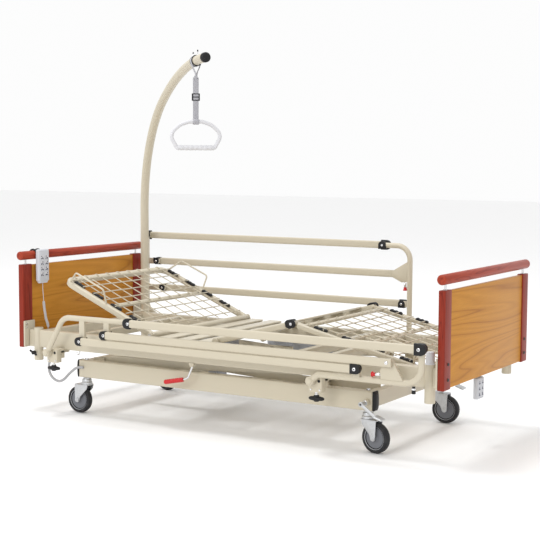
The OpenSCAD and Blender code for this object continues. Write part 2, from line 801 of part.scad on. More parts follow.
// Oval hand knob with its screw spindle
module clamp_knob(end) {
    x = end == 0 ? guard_x[0] + 13 : guard_x[1] + 12;
    translate([x, 460, 0]) {
        color(black) {
            cyl_z(0, 0, 205, 232, 15);
            for (s = [-1, 1]) cyl_z(s * 23, 0, 208, 226, 13);
            box([-22, -12.8, 208.5], [22, 12.8, 225.5]);
        }
        color(chrome) cyl_z(0, 0, 231, 261, 6);
    }
}

module clamp_knob_head_near() { near() clamp_knob(0); }
module clamp_knob_foot_near() { near() clamp_knob(1); }
module clamp_knob_head_far() { clamp_knob(0); }
module clamp_knob_foot_far() { clamp_knob(1); }

// ---- lifting pole ----

// Frame of the pole: x along its heading
module at_pole() { translate([sleeve_x[0], sleeve_y, 0]) rotate([0, 0, pole_heading]) children(); }

pole_s1 = pole_bend_1[0] * (1 - cos(pole_bend_1[1]));
pole_z1 = pole_bend_z + pole_bend_1[0] * sin(pole_bend_1[1]);
pole_s2 = pole_s1 + pole_bend_2_r * cos(pole_bend_1[1]);
pole_cz2 = pole_z1 - pole_bend_2_r * sin(pole_bend_1[1]);
strap_a = 96.2;
strap_s = pole_s2 + pole_bend_2_r * cos(strap_a);
strap_z = pole_cz2 + pole_bend_2_r * sin(strap_a);

module lifting_pole() {
    color(cream) at_pole() {
        cyl_z(0, 0, 240, 395, sleeve_bore_r - run);
        cyl_z(0, 0, 388.4, pole_bend_z, pole_r);
        translate([pole_bend_1[0], 0, pole_bend_z]) arc_xz(pole_bend_1[0], pole_r - 0.1, 180 - pole_bend_1[1], 180);
        translate([pole_s2, 0, pole_cz2]) arc_xz(pole_bend_2_r, pole_r - 0.2, 90, 180.3 - pole_bend_1[1]);
        // Stops either side of the strap
        for (a = [strap_a - 1.4, strap_a + 1.4]) translate([pole_s2, 0, pole_cz2])
            rotate([0, 90 - a, 0]) cyl_z(0, 0, pole_bend_2_r, pole_bend_2_r + pole_r + 24, 3);
    }
    color(black) at_pole() cyl_x(0, pole_cz2 + pole_bend_2_r, pole_s2 - 12, pole_s2 + 12, pole_r + 1.5);
}

// Webbing strap looped round the pole, with its ladder buckle
module grab_strap() {
    at_pole() translate([strap_s, 0, strap_z]) {
        color(white) rotate([0, 90 - strap_a, 0]) difference() {
            cyl_x(0, 0, -13, 13, 25.5);
            cyl_x(0, 0, -14, 14, pole_r + 1);
        }
        color(white) rotate([0, 0, 81]) {
            box([-13, -1.5, -262], [13, 1.5, -22.5]);
            difference() {
                cyl_x(0, -272, -13, 13, 14);
                cyl_x(0, -272, -14, 14, 10);
            }
        }
        color(black) rotate([0, 0, 81]) box([-18, -6, -178], [18, 6, -146]);
    }
}

// Hand grip hanging from the strap: half outline in its own plane, from the top bar to the bottom bar
grip_pts = [[30, 0], [72, -14], [106, -44], [113, -72], [86, -120]];

module grab_handle() {
    color(white) at_pole() translate([strap_s, 0, strap_z - 272]) rotate([0, 0, 81]) {
        cyl_x(0, 0, -30, 30, 9);
        for (s = [-1, 1]) {
            for (i = [0 : 3]) strut([s * grip_pts[i][0], 0, grip_pts[i][1]], [s * grip_pts[i + 1][0], 0, grip_pts[i + 1][1]], 9);
            for (p = grip_pts) translate([s * p[0], 0, p[1]]) sphere(9.3);
        }
        cyl_x(0, -120, -86, 86, 11);
        for (x = [-66 : 22 : 66]) translate([x, 0, -117]) rotate([0, 90, 0]) cylinder(r = 12, h = 12, center = true);
    }
}

// ---- controls ----

module handset() {
    x0 = head_post_x + 12;
    rod_x = head_post_x - post_t / 2;
    color(grey) {
        box([x0, -378, 595], [x0 + handset_size[0], -305, 745]);
        box([x0 + 3, -370, 587], [x0 + handset_size[0] - 3, -313, 596]);
    }
    // Hook over the hand rod
    color(black) for (y = [-362, -330]) {
        translate([rod_x, y, hand_rod_z]) arc_xz(hand_rod_r + 4.5, 4.2, 0, 180);
        strut([rod_x - hand_rod_r - 4.5, y, hand_rod_z], [rod_x - hand_rod_r - 4.5, y, 700], 4);
        strut([rod_x + hand_rod_r + 4.5, y, hand_rod_z], [x0 + 4, y, hand_rod_z - 8], 4);
    }
}

module handset_keys() {
    x1 = head_post_x + 12 + handset_size[0];
    color(black) for (z = [630 : 26 : 708], y = [-357, -326]) translate([x1 + 0.01, y - 9, z - 8]) cube([1.6, 18, 16]);
}

// Lockout box on the foot end with its membrane keys
module lockout_box() {
    color(grey) box([1014, -34, 195], [1036, 34, 283]);
    color(cream) box([1010, -14, 230], [1014.01, 14, 299.99]);
    color(black) for (z = [215 : 24 : 263], y = [-16, 16]) box([1036, y - 9, z - 8], [1037, y + 9, z + 8]);
}

module release_lever() {
    color(chrome) {
        cyl_y(-112, 290, -415.4, -404.6, 6);
        cyl_y(-112, 290, -419.5, -400.5, 3);
        path([[-112, -410, 290], [-133, -412, 232], [-160, -414, 221]], 4.5);
    }
    color(red) strut([-156, -414, 222], [-252, -418, 203], 10.5);
}

// ---- cables ----

module conduit() { color(grey) route_tube(conduit_pts, 6, [0, 1, 0]); }

module handset_cord() { color(white) route_tube(handset_cord_pts, 7, [0, 1, 0]); }

chassis_tubes();
chassis_cross_members();
chassis_end_caps();
caster_fork_nh();
caster_fork_fh();
caster_fork_nf();
caster_fork_ff();
caster_wheel_nh();
caster_wheel_fh();
caster_wheel_nf();
caster_wheel_ff();
brake_lever_nf();
brake_lever_ff();
scissor_outer_arms();
scissor_inner_arms();
lift_actuator();
lift_rod();
upper_frame();
frame_cross_tubes();
frame_members();
seat_slats();
bed_end_posts();
bed_end_boards();
hand_rods();
bed_end_fittings();
guard_clamps();
frame_trim();
drive_unit();
wing_knob();
backrest_frame();
backrest_mesh();
thigh_frame();
knee_caps();
leg_frame();
leg_mesh();
guard_head_arm_near();
guard_foot_arm_near();
guard_top_rail_near();
guard_middle_rail_near();
guard_low_rail_near();
guard_plunger_near();
clamp_knob_head_near();
clamp_knob_foot_near();
guard_head_arm_far();
guard_foot_arm_far();
guard_top_rail_far();
guard_middle_rail_far();
guard_low_rail_far();
guard_plunger_far();
clamp_knob_head_far();
clamp_knob_foot_far();
lifting_pole();
grab_strap();
grab_handle();
handset();
handset_keys();
lockout_box();
release_lever();
conduit();
handset_cord();
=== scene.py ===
"""Looks of the adjustable hospital bed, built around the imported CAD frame. Lengths here are millimetres."""
import math

import bmesh
import bpy
from mathutils import Matrix, Vector


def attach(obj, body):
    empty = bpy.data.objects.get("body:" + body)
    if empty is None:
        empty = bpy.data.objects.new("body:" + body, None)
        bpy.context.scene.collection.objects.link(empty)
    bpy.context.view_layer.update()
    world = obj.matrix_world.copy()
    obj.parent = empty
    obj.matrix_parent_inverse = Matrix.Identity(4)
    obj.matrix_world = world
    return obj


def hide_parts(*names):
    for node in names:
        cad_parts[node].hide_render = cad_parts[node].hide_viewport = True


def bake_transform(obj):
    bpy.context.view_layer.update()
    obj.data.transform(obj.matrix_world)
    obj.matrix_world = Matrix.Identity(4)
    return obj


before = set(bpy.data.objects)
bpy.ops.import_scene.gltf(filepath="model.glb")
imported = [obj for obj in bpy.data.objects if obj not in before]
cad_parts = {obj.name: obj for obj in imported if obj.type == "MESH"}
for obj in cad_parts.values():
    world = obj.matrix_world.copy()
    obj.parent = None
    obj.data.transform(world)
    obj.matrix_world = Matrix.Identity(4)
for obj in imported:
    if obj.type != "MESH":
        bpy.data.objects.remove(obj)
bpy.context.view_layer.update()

MM = 0.001


# ---- camera ----

LENS_MM, SENSOR_MM = 84.71, 36.0
CAMERA_AT = (2.954, -4.832, 1.1645)
CAMERA_TURN = (31.22, 4.97, 0.267)  # azimuth, elevation, roll in degrees


def place_camera():
    cam = bpy.data.cameras.new("camera")
    cam.lens, cam.sensor_width, cam.sensor_fit = LENS_MM, SENSOR_MM, "HORIZONTAL"
    cam.clip_end = 60
    obj = bpy.data.objects.new("camera", cam)
    bpy.context.collection.objects.link(obj)
    az, el, roll = (math.radians(a) for a in CAMERA_TURN)
    back = Vector((math.sin(az) * math.cos(el), -math.cos(az) * math.cos(el), math.sin(el)))
    right = Vector((0, 0, 1)).cross(back).normalized()
    up = back.cross(right)
    r2 = right * math.cos(roll) + up * math.sin(roll)
    u2 = back.cross(r2)
    m = Matrix((r2, u2, back)).transposed().to_4x4()
    m.translation = Vector(CAMERA_AT)
    obj.matrix_world = m
    bpy.context.scene.camera = obj


place_camera()


# ---- materials ----

class Nodes:
    """A small helper for building a procedural material."""

    def __init__(self, name, roughness=0.5, metallic=0.0):
        self.mat = bpy.data.materials.new(name)
        self.mat.use_nodes = True
        self.tree = self.mat.node_tree
        self.bsdf = self.tree.nodes["Principled BSDF"]
        self.bsdf.inputs["Roughness"].default_value = roughness
        self.bsdf.inputs["Metallic"].default_value = metallic
        self.coord = self.tree.nodes.new("ShaderNodeTexCoord").outputs["Object"]

    def new(self, kind, **props):
        n = self.tree.nodes.new(kind)
        for k, v in props.items():
            setattr(n, k, v)
        return n

    def link(self, a, b):
        self.tree.links.new(a, b)

    def put(self, socket, value):
        self.bsdf.inputs[socket].default_value = value

    def scaled(self, scale, rot=(0, 0, 0)):
        n = self.new("ShaderNodeMapping")
        self.link(self.coord, n.inputs["Vector"])
        n.inputs["Scale"].default_value = scale
        n.inputs["Rotation"].default_value = rot
        return n.outputs[0]

    def noise(self, scale, detail=3.0, rough=0.5, vector=None, distortion=0.0):
        n = self.new("ShaderNodeTexNoise")
        self.link(vector if vector is not None else self.coord, n.inputs["Vector"])
        n.inputs["Scale"].default_value = scale
        n.inputs["Detail"].default_value = detail
        n.inputs["Roughness"].default_value = rough
        n.inputs["Distortion"].default_value = distortion
        return n.outputs[0]

    def ramp(self, value, stops):
        n = self.new("ShaderNodeValToRGB")
        self.link(value, n.inputs[0])
        els = n.color_ramp.elements
        while len(els) < len(stops):
            els.new(0.5)
        for e, (p, c) in zip(els, stops):
            e.position = p
            e.color = (*c, 1) if len(c) == 3 else c
        return n.outputs[0]

    def span(self, value, lo, hi):
        n = self.new("ShaderNodeMapRange")
        self.link(value, n.inputs[0])
        n.inputs[3].default_value = lo
        n.inputs[4].default_value = hi
        return n.outputs[0]

    def mix(self, fac, a, b):
        n = self.new("ShaderNodeMix", data_type="RGBA")
        if isinstance(fac, float):
            n.inputs[0].default_value = fac
        else:
            self.link(fac, n.inputs[0])
        for s, v in ((n.inputs[6], a), (n.inputs[7], b)):
            if isinstance(v, tuple):
                s.default_value = (*v, 1)
            else:
                self.link(v, s)
        return n.outputs[2]

    def colour(self, out):
        self.link(out, self.bsdf.inputs["Base Color"])

    def rough(self, out):
        self.link(out, self.bsdf.inputs["Roughness"])

    def bump(self, height, strength, distance=0.001, prev=None):
        n = self.new("ShaderNodeBump")
        n.inputs["Strength"].default_value = strength
        n.inputs["Distance"].default_value = distance
        self.link(height, n.inputs["Height"])
        if prev is not None:
            self.link(prev, n.inputs["Normal"])
        self.link(n.outputs[0], self.bsdf.inputs["Normal"])
        return n.outputs[0]


def powder_coat(name, base, dark):
    n = Nodes(name)
    tone = n.noise(3.2, 4, 0.6)
    scuff = n.ramp(n.noise(60, 6, 0.75), [(0.62, (0, 0, 0)), (0.78, (1, 1, 1))])
    n.colour(n.mix(n.span(scuff, 0.0, 0.18), n.mix(tone, base, dark), tuple(c * 0.8 for c in base)))
    n.rough(n.span(n.noise(14, 4, 0.6), 0.27, 0.42))
    n.put("Specular IOR Level", 0.35)
    n.put("Coat Weight", 0.12)
    n.put("Coat Roughness", 0.2)
    n.bump(n.noise(900, 2, 0.5), 0.05, 0.0002)
    return n.mat


def wood(name, light, mid, dark, grain, rot=(0, 0, 0), ring=1.0, bands=9.0):
    """Lacquered veneer: distorted bands for the figure, fine streaks for the pores. grain stretches the pattern."""
    n = Nodes(name)
    v = n.scaled(grain, rot)
    warp = n.noise(ring, 2, 0.45, v, 0.35)
    rings = n.new("ShaderNodeMath", operation="MULTIPLY")
    n.link(warp, rings.inputs[0])
    rings.inputs[1].default_value = bands
    frac = n.new("ShaderNodeMath", operation="PINGPONG")
    n.link(rings.outputs[0], frac.inputs[0])
    frac.inputs[1].default_value = 0.5
    figure = n.ramp(frac.outputs[0], [(0.0, dark), (0.07, mid), (0.30, light), (0.5, mid)])
    fine = n.noise(60, 5, 0.7, n.scaled(tuple(g * (3.0 if g > 2 else 0.55) for g in grain), rot))
    pores = n.ramp(fine, [(0.40, (0.60, 0.60, 0.60)), (0.58, (1, 1, 1))])
    m = n.new("ShaderNodeMix", data_type="RGBA", blend_type="MULTIPLY")
    m.inputs[0].default_value = 0.35
    n.link(figure, m.inputs[6])
    n.link(pores, m.inputs[7])
    n.colour(n.mix(n.span(n.noise(2.3, 2, 0.5), 0.0, 0.45), m.outputs[2], mid))
    n.rough(n.span(fine, 0.30, 0.42))
    n.put("Specular IOR Level", 0.14)
    n.put("Coat Weight", 0.05)
    n.put("Coat Roughness", 0.18)
    n.bump(fine, 0.12, 0.0004)
    return n.mat


def plastic(name, base, rough, grain=700, strength=0.15, coat=0.0):
    n = Nodes(name)
    n.colour(n.mix(n.span(n.noise(9, 3, 0.6), 0, 1), base, tuple(min(1, c * 1.18 + 0.004) for c in base)))
    n.rough(n.span(n.noise(25, 4, 0.6), rough - 0.07, rough + 0.08))
    n.put("Specular IOR Level", 0.25)
    n.put("Coat Weight", coat)
    n.bump(n.noise(grain, 2, 0.5), strength, 0.0003)
    return n.mat


def metal(name, base, rough, brushed=(1, 1, 1), spangle=0.0):
    n = Nodes(name, rough, 1.0)
    streak = n.noise(180, 4, 0.7, n.scaled(brushed))
    a = n.mix(streak, base, tuple(c * 0.82 for c in base))
    if spangle:
        cells = n.new("ShaderNodeTexVoronoi")
        n.link(n.coord, cells.inputs["Vector"])
        cells.inputs["Scale"].default_value = 140
        a = n.mix(n.span(cells.outputs["Color"], 0, spangle), a, tuple(c * 0.6 for c in base))
    n.colour(a)
    n.rough(n.span(streak, rough * 0.8, rough * 1.5))
    n.bump(streak, 0.05, 0.0002)
    return n.mat


def weave(name, base, dark, scale):
    n = Nodes(name, 0.85)
    wx = n.new("ShaderNodeTexWave", wave_type="BANDS", bands_direction="Z")
    wy = n.new("ShaderNodeTexWave", wave_type="BANDS", bands_direction="X")
    for w in (wx, wy):
        n.link(n.coord, w.inputs["Vector"])
        w.inputs["Scale"].default_value = scale
    mul = n.new("ShaderNodeMath", operation="MULTIPLY")
    n.link(wx.outputs["Fac"], mul.inputs[0])
    n.link(wy.outputs["Fac"], mul.inputs[1])
    n.colour(n.mix(mul.outputs[0], dark, base))
    n.put("Sheen Weight", 0.3)
    n.bump(mul.outputs[0], 0.6, 0.0006)
    return n.mat


def rubber(name, base, rough):
    n = Nodes(name, rough)
    dust = n.ramp(n.noise(30, 5, 0.7), [(0.5, (0, 0, 0)), (0.75, (1, 1, 1))])
    n.colour(n.mix(n.span(dust, 0.0, 0.25), base, (0.16, 0.155, 0.15)))
    n.rough(n.span(n.noise(40, 3, 0.6), rough - 0.1, rough + 0.1))
    n.put("Specular IOR Level", 0.25)
    n.bump(n.noise(420, 3, 0.6), 0.25, 0.0005)
    return n.mat


PAINT = powder_coat("cream_powder_coat", (0.575, 0.520, 0.405), (0.545, 0.490, 0.376))
# One cherry veneer in two copies, one per grain direction. The rod copy is painted lighter than the upright copy:
# painted light standing for the light on the rods' rounded tops.
CHERRY_Z = wood("cherry_upright", (0.30, 0.036, 0.018), (0.235, 0.026, 0.013), (0.14, 0.014, 0.008), (22, 22, 1.6),
                ring=1.4, bands=5)
CHERRY_ROD_PAINTED_LIT = wood("cherry_rod_painted_lit", (0.40, 0.062, 0.030), (0.32, 0.044, 0.021), (0.19, 0.022, 0.011), (22, 1.6, 22),
                ring=1.4, bands=5)
HONEY = wood("honey_veneer", (0.60, 0.270, 0.036), (0.52, 0.220, 0.026), (0.37, 0.135, 0.014), (6, 0.34, 4.6),
             ring=1.1, bands=15)
ZINC = metal("zinc_plate", (0.66, 0.67, 0.68), 0.34, (1, 1, 1), 0.35)
CHROME = metal("chrome_plate", (0.80, 0.80, 0.81), 0.12)
BLACK = plastic("black_plastic", (0.012, 0.012, 0.013), 0.42)
TYRE = rubber("tyre_rubber", (0.022, 0.022, 0.024), 0.6)
HUB = plastic("grey_hub", (0.15, 0.155, 0.17), 0.45)
RING = plastic("hub_ring", (0.46, 0.47, 0.49), 0.4)
GREY = plastic("grey_plastic", (0.33, 0.34, 0.37), 0.5)
CASE = plastic("pale_case", (0.52, 0.53, 0.56), 0.42)
INK = plastic("key_print", (0.045, 0.05, 0.085), 0.5)
WHITE = plastic("white_plastic", (0.60, 0.60, 0.62), 0.36, coat=0.1)
RED = plastic("red_plastic", (0.50, 0.012, 0.014), 0.35, coat=0.3)
WEB = weave("white_webbing", (0.56, 0.56, 0.58), (0.36, 0.36, 0.39), 900)
CABLE = plastic("grey_conduit", (0.38, 0.38, 0.39), 0.5)
CORD = plastic("white_cord", (0.58, 0.58, 0.60), 0.42)
DARK_BOLT = metal("dark_bolt", (0.10, 0.095, 0.09), 0.4)


# ---- mesh helpers: each returns a bmesh in millimetres ----

def bm_join(parts):
    out = bmesh.new()
    for p in parts:
        me = bpy.data.meshes.new("part")
        p.to_mesh(me)
        p.free()
        out.from_mesh(me)
        bpy.data.meshes.remove(me)
    return out


def box(lo, hi, bevel=2.0, seg=3):
    bm = bmesh.new()
    c = [(a + b) / 2 for a, b in zip(lo, hi)]
    s = [abs(b - a) for a, b in zip(lo, hi)]
    bmesh.ops.create_cube(bm, size=1, matrix=Matrix.Translation(c) @ Matrix.Diagonal((*s, 1)))
    if bevel:
        bmesh.ops.bevel(bm, geom=list(bm.edges), offset=min(bevel, min(s) * 0.45), segments=seg, profile=0.5,
                        affect="EDGES")
    return bm


def lathe(profile, origin=(0, 0, 0), axis=(0, 0, 1), n=40):
    """Turned shape. profile is (radius, height) from one end to the other; ends on the axis are closed."""
    bm = bmesh.new()
    z = Vector(axis).normalized()
    x = z.orthogonal().normalized()
    y = z.cross(x)
    o = Vector(origin)
    rings = []
    for r, h in profile:
        if r < 1e-6:
            rings.append([bm.verts.new(o + z * h)])
        else:
            rings.append([bm.verts.new(o + z * h + (x * math.cos(t) + y * math.sin(t)) * r)
                          for t in (2 * math.pi * i / n for i in range(n))])
    for a, b in zip(rings, rings[1:]):
        for i in range(n):
            j = (i + 1) % n
            if len(a) == 1 and len(b) == 1:
                continue
            if len(a) == 1:
                bm.faces.new((a[0], b[i], b[j]))
            elif len(b) == 1:
                bm.faces.new((a[i], a[j], b[0]))
            else:
                bm.faces.new((a[i], a[j], b[j], b[i]))
    bmesh.ops.recalc_face_normals(bm, faces=bm.faces)
    return bm


def rod(p, q, r, edge=0.8, n=24):
    """Round bar with eased ends."""
    p, q = Vector(p), Vector(q)
    h = (q - p).length
    e = min(edge, r * 0.5, h * 0.4)
    return lathe([(0, 0), (r - e, 0), (r - e * 0.3, e * 0.3), (r, e), (r, h - e), (r - e * 0.3, h - e * 0.3),
                  (r - e, h), (0, h)], p, q - p, n)


def fillet(pts, radius, steps=8):
    """Replaces each inner corner of a polyline by an arc."""
    pts = [Vector(p) for p in pts]
    out = [pts[0]]
    for i in range(1, len(pts) - 1):
        a, b, c = pts[i - 1], pts[i], pts[i + 1]
        u, v = (a - b).normalized(), (c - b).normalized()
        ang = u.angle(v)
        r = radius[i - 1] if isinstance(radius, (list, tuple)) else radius
        if ang > math.pi - 0.02 or r <= 0:
            out.append(b)
            continue
        t = min(r / math.tan(ang / 2), (a - b).length * 0.49, (c - b).length * 0.49)
        r = t * math.tan(ang / 2)
        centre = b + (u + v).normalized() * (r / math.sin(ang / 2))
        s, e = b + u * t - centre, b + v * t - centre
        q = s.rotation_difference(e)
        for k in range(steps + 1):
            f = k / steps
            out.append(centre + (type(q)().slerp(q, f) @ s))
    out.append(pts[-1])
    return out


def sweep(path, section, closed=False, up=None):
    """Sweeps a closed 2-D section along a path without twisting. Ends are capped."""
    bm = bmesh.new()
    pts = [Vector(p) for p in path]
    n = len(pts)
    tangents = []
    for i in range(n):
        a = pts[i - 1] if (i or closed) else pts[0]
        b = pts[(i + 1) % n] if (i < n - 1 or closed) else pts[-1]
        tangents.append((b - a).normalized())
    x = Vector(up) if up is not None else tangents[0].orthogonal()
    x = (x - tangents[0] * x.dot(tangents[0])).normalized()
    rings = []
    for i in range(n):
        t = tangents[i]
        if up is not None:
            x = Vector(up)
        x = (x - t * x.dot(t)).normalized()
        y = t.cross(x)
        rings.append([bm.verts.new(pts[i] + x * u + y * v) for u, v in section])
    m = len(section)
    pairs = list(zip(rings, rings[1:])) + ([(rings[-1], rings[0])] if closed else [])
    for a, b in pairs:
        for i in range(m):
            j = (i + 1) % m
            bm.faces.new((a[i], a[j], b[j], b[i]))
    if not closed:
        bm.faces.new(rings[0])
        bm.faces.new(rings[-1])
    bmesh.ops.recalc_face_normals(bm, faces=bm.faces)
    return bm


def circle(r, n=14):
    return [(r * math.cos(2 * math.pi * i / n), r * math.sin(2 * math.pi * i / n)) for i in range(n)]


def rounded(w, h, r, n=4):
    """Rounded rectangle section."""
    out = []
    for cx, cy, a0 in ((w / 2 - r, h / 2 - r, 0), (-w / 2 + r, h / 2 - r, 90), (-w / 2 + r, -h / 2 + r, 180),
                       (w / 2 - r, -h / 2 + r, 270)):
        for k in range(n + 1):
            t = math.radians(a0 + 90 * k / n)
            out.append((cx + r * math.cos(t), cy + r * math.sin(t)))
    return out


def pipe(pts, r, radius=0, n=14, closed=False, steps=8):
    return sweep(fillet(pts, radius, steps) if radius else pts, circle(r, n), closed)


def plate(outline, y0, y1, bevel=1.0):
    """Plate with an x-z outline, from y0 to y1, with eased edges."""
    bm = bmesh.new()
    f = bm.faces.new([bm.verts.new((x, y0, z)) for x, z in outline])
    ext = bmesh.ops.extrude_face_region(bm, geom=[f])
    bmesh.ops.translate(bm, verts=[v for v in ext["geom"] if isinstance(v, bmesh.types.BMVert)], vec=(0, y1 - y0, 0))
    bmesh.ops.recalc_face_normals(bm, faces=bm.faces)
    if bevel:
        rim = [e for e in bm.edges if abs(e.verts[0].co.y - e.verts[1].co.y) < 1e-6]
        bmesh.ops.bevel(bm, geom=rim, offset=bevel, segments=2, profile=0.5, affect="EDGES")
    return bm


def disc_outline(cx, cz, r, a0, a1, n=10):
    return [(cx + r * math.cos(math.radians(a0 + (a1 - a0) * k / n)),
             cz + r * math.sin(math.radians(a0 + (a1 - a0) * k / n))) for k in range(n + 1)]


def half_round(x, z, r, head_side, edge):
    """Half disc facing the head or the foot end, with a straight stretch to x = edge."""
    if head_side:
        return disc_outline(x, z, r, 90, 270, 14) + [(edge, z - r), (edge, z + r)]
    return disc_outline(x, z, r, -90, 90, 14) + [(edge, z + r), (edge, z - r)]


def turned(bm, matrix):
    bmesh.ops.transform(bm, matrix=matrix, verts=bm.verts)
    if matrix.determinant() < 0:
        bmesh.ops.reverse_faces(bm, faces=bm.faces)
    return bm


def mirror_y(bm):
    return turned(bm, Matrix.Diagonal((1, -1, 1, 1)))


def both(make):
    """The shape and its mirror image across the bed's middle."""
    return [make(), mirror_y(make())]


def piece(name, parts, body, mat, replaces=(), smooth=40):
    """Makes one object from parts, lets it ride on a CAD body, and hides the CAD nodes it stands for."""
    bm = bm_join(parts if isinstance(parts, list) else [parts])
    bmesh.ops.scale(bm, vec=(MM, MM, MM), verts=bm.verts)
    me = bpy.data.meshes.new(name)
    bm.to_mesh(me)
    bm.free()
    me.materials.append(mat)
    obj = bpy.data.objects.new(name, me)
    bpy.context.collection.objects.link(obj)
    for p in me.polygons:
        p.use_smooth = True
    me.set_sharp_from_angle(angle=math.radians(smooth))
    if body:
        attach(obj, body)
    if replaces:
        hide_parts(*replaces)
    return obj


def curve_points(ctrl, per=8):
    """Catmull-Rom points through the control points."""
    p = [Vector(c) for c in ctrl]
    p = [p[0] * 2 - p[1]] + p + [p[-1] * 2 - p[-2]]
    out = []
    for i in range(1, len(p) - 2):
        for k in range(per):
            t = k / per
            out.append(0.5 * ((2 * p[i]) + (p[i + 1] - p[i - 1]) * t
                              + (2 * p[i - 1] - 5 * p[i] + 4 * p[i + 1] - p[i + 2]) * t * t
                              + (3 * p[i] - p[i - 1] - 3 * p[i + 1] + p[i + 2]) * t ** 3))
    out.append(p[-2])
    return out


# ---- main sizes, as in the CAD ----

HEAD_POST, FOOT_POST, POST_T, POST_W, POST_Y = -1030, 1037, 28, 64, 385
ROD_Z, ROD_R = 718, 20
SLEEVE_X, SLEEVE_Y = (-975, 990), 407
BACK_X, PIVOT_Z, BACK_A = -345, 396, 23.3
THIGH_X, THIGH_L, THIGH_A = -9, 383, 14.8
LEG_A = 13.4
KNEE = (THIGH_X + THIGH_L * math.cos(math.radians(THIGH_A)), PIVOT_Z + THIGH_L * math.sin(math.radians(THIGH_A)))
GUARD_X, GUARD_Z, ARM_Y = (-853, 511.5), 291, 489
PIVOTS = ((479, 167), (346, 106), (209, 69))
CASTERS = {"nh": (-745, -342, 180), "fh": (-745, 342, 180), "nf": (695, -342, -10), "ff": (695, 342, 3)}


# ---- cords ----

def conduit():
    ctrl = [(-900, -397, 297.3), (-900, -397, 280), (-906, -396, 260), (-918, -395, 241), (-928, -392, 218),
            (-931, -390, 198), (-928, -388, 179), (-920, -386, 163), (-909, -384, 152), (-895, -383, 145),
            (-879, -382, 142), (-865, -381, 145), (-852, -380, 152), (-841, -379, 161), (-830, -378, 172),
            (-818, -376, 184), (-804, -374, 196), (-788, -371, 208), (-768, -369, 215), (-745, -368.3, 216)]
    pts = curve_points(ctrl, 4)
    length = sum((b - a).length for a, b in zip(pts, pts[1:]))
    obj = piece("conduit_loop", sweep(pts, circle(6, 16)), None, CABLE, ["conduit"])
    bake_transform(obj)
    tuple(c * MM for c in ctrl[0])


conduit()


# ---- chassis and casters ----

def end_cap(x, side, out):
    """Bulged black plug in a chassis tube end."""
    bm = bmesh.new()
    n = 12
    grid = []
    for i in range(n + 1):
        row = []
        for j in range(n + 1):
            u, v = 2 * i / n - 1, 2 * j / n - 1
            bulge = 9.5 * (1 - abs(u) ** 3.0) ** 0.5 * (1 - abs(v) ** 3.0) ** 0.5
            row.append(bm.verts.new((x + out * (5.5 + bulge), side * 342 + u * 19.6, 208.5 + v * 39.6)))
        grid.append(row)
    for i in range(n):
        for j in range(n):
            bm.faces.new((grid[i][j], grid[i + 1][j], grid[i + 1][j + 1], grid[i][j + 1]))
    rim = box((min(x, x + out * 6), side * 342 - 20, 168.5), (max(x, x + out * 6), side * 342 + 20, 248.5), 3)
    bmesh.ops.recalc_face_normals(bm, faces=bm.faces)
    return [bm, rim]


def chassis():
    piece("chassis_side_tubes", both(lambda: box((-777, 322, 168.5), (722, 362, 248.5), 6, 4)), "chassis", PAINT,
          ["chassis_tubes"])
    caps = []
    for s in (-1, 1):
        for x, out in ((-777, -1), (722, 1)):
            caps += end_cap(x, s, out)
    piece("chassis_tube_plugs", caps, "chassis", BLACK, ["chassis_end_caps"])
    # Bolts that hold the caster stems, and the arm pivots
    bolts = []
    for s in (-1, 1):
        for x in (-745, 695):
            bolts.append(lathe([(0, 0), (8, 0), (9, 1), (9, 6), (6, 8), (0, 8)], (x, s * 342, 248.3), (0, 0, 1), 6))
        bolts.append(lathe([(0, 0), (10, 0), (12, 1), (12, 5), (9, 7), (0, 7)], (-692, s * 308.2, 241),
                           (0, -s, 0), 6))
    piece("chassis_bolts", bolts, "chassis", CHROME)
    for node in ("chassis_cross_members",):
        recolour(node, PAINT)
    recolour("lift_actuator", GREY)
    recolour("lift_rod", CHROME)


def recolour(node, mat):
    """Gives a carried-over CAD node its procedural material."""
    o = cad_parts[node]
    o.data.materials.clear()
    o.data.materials.append(mat)


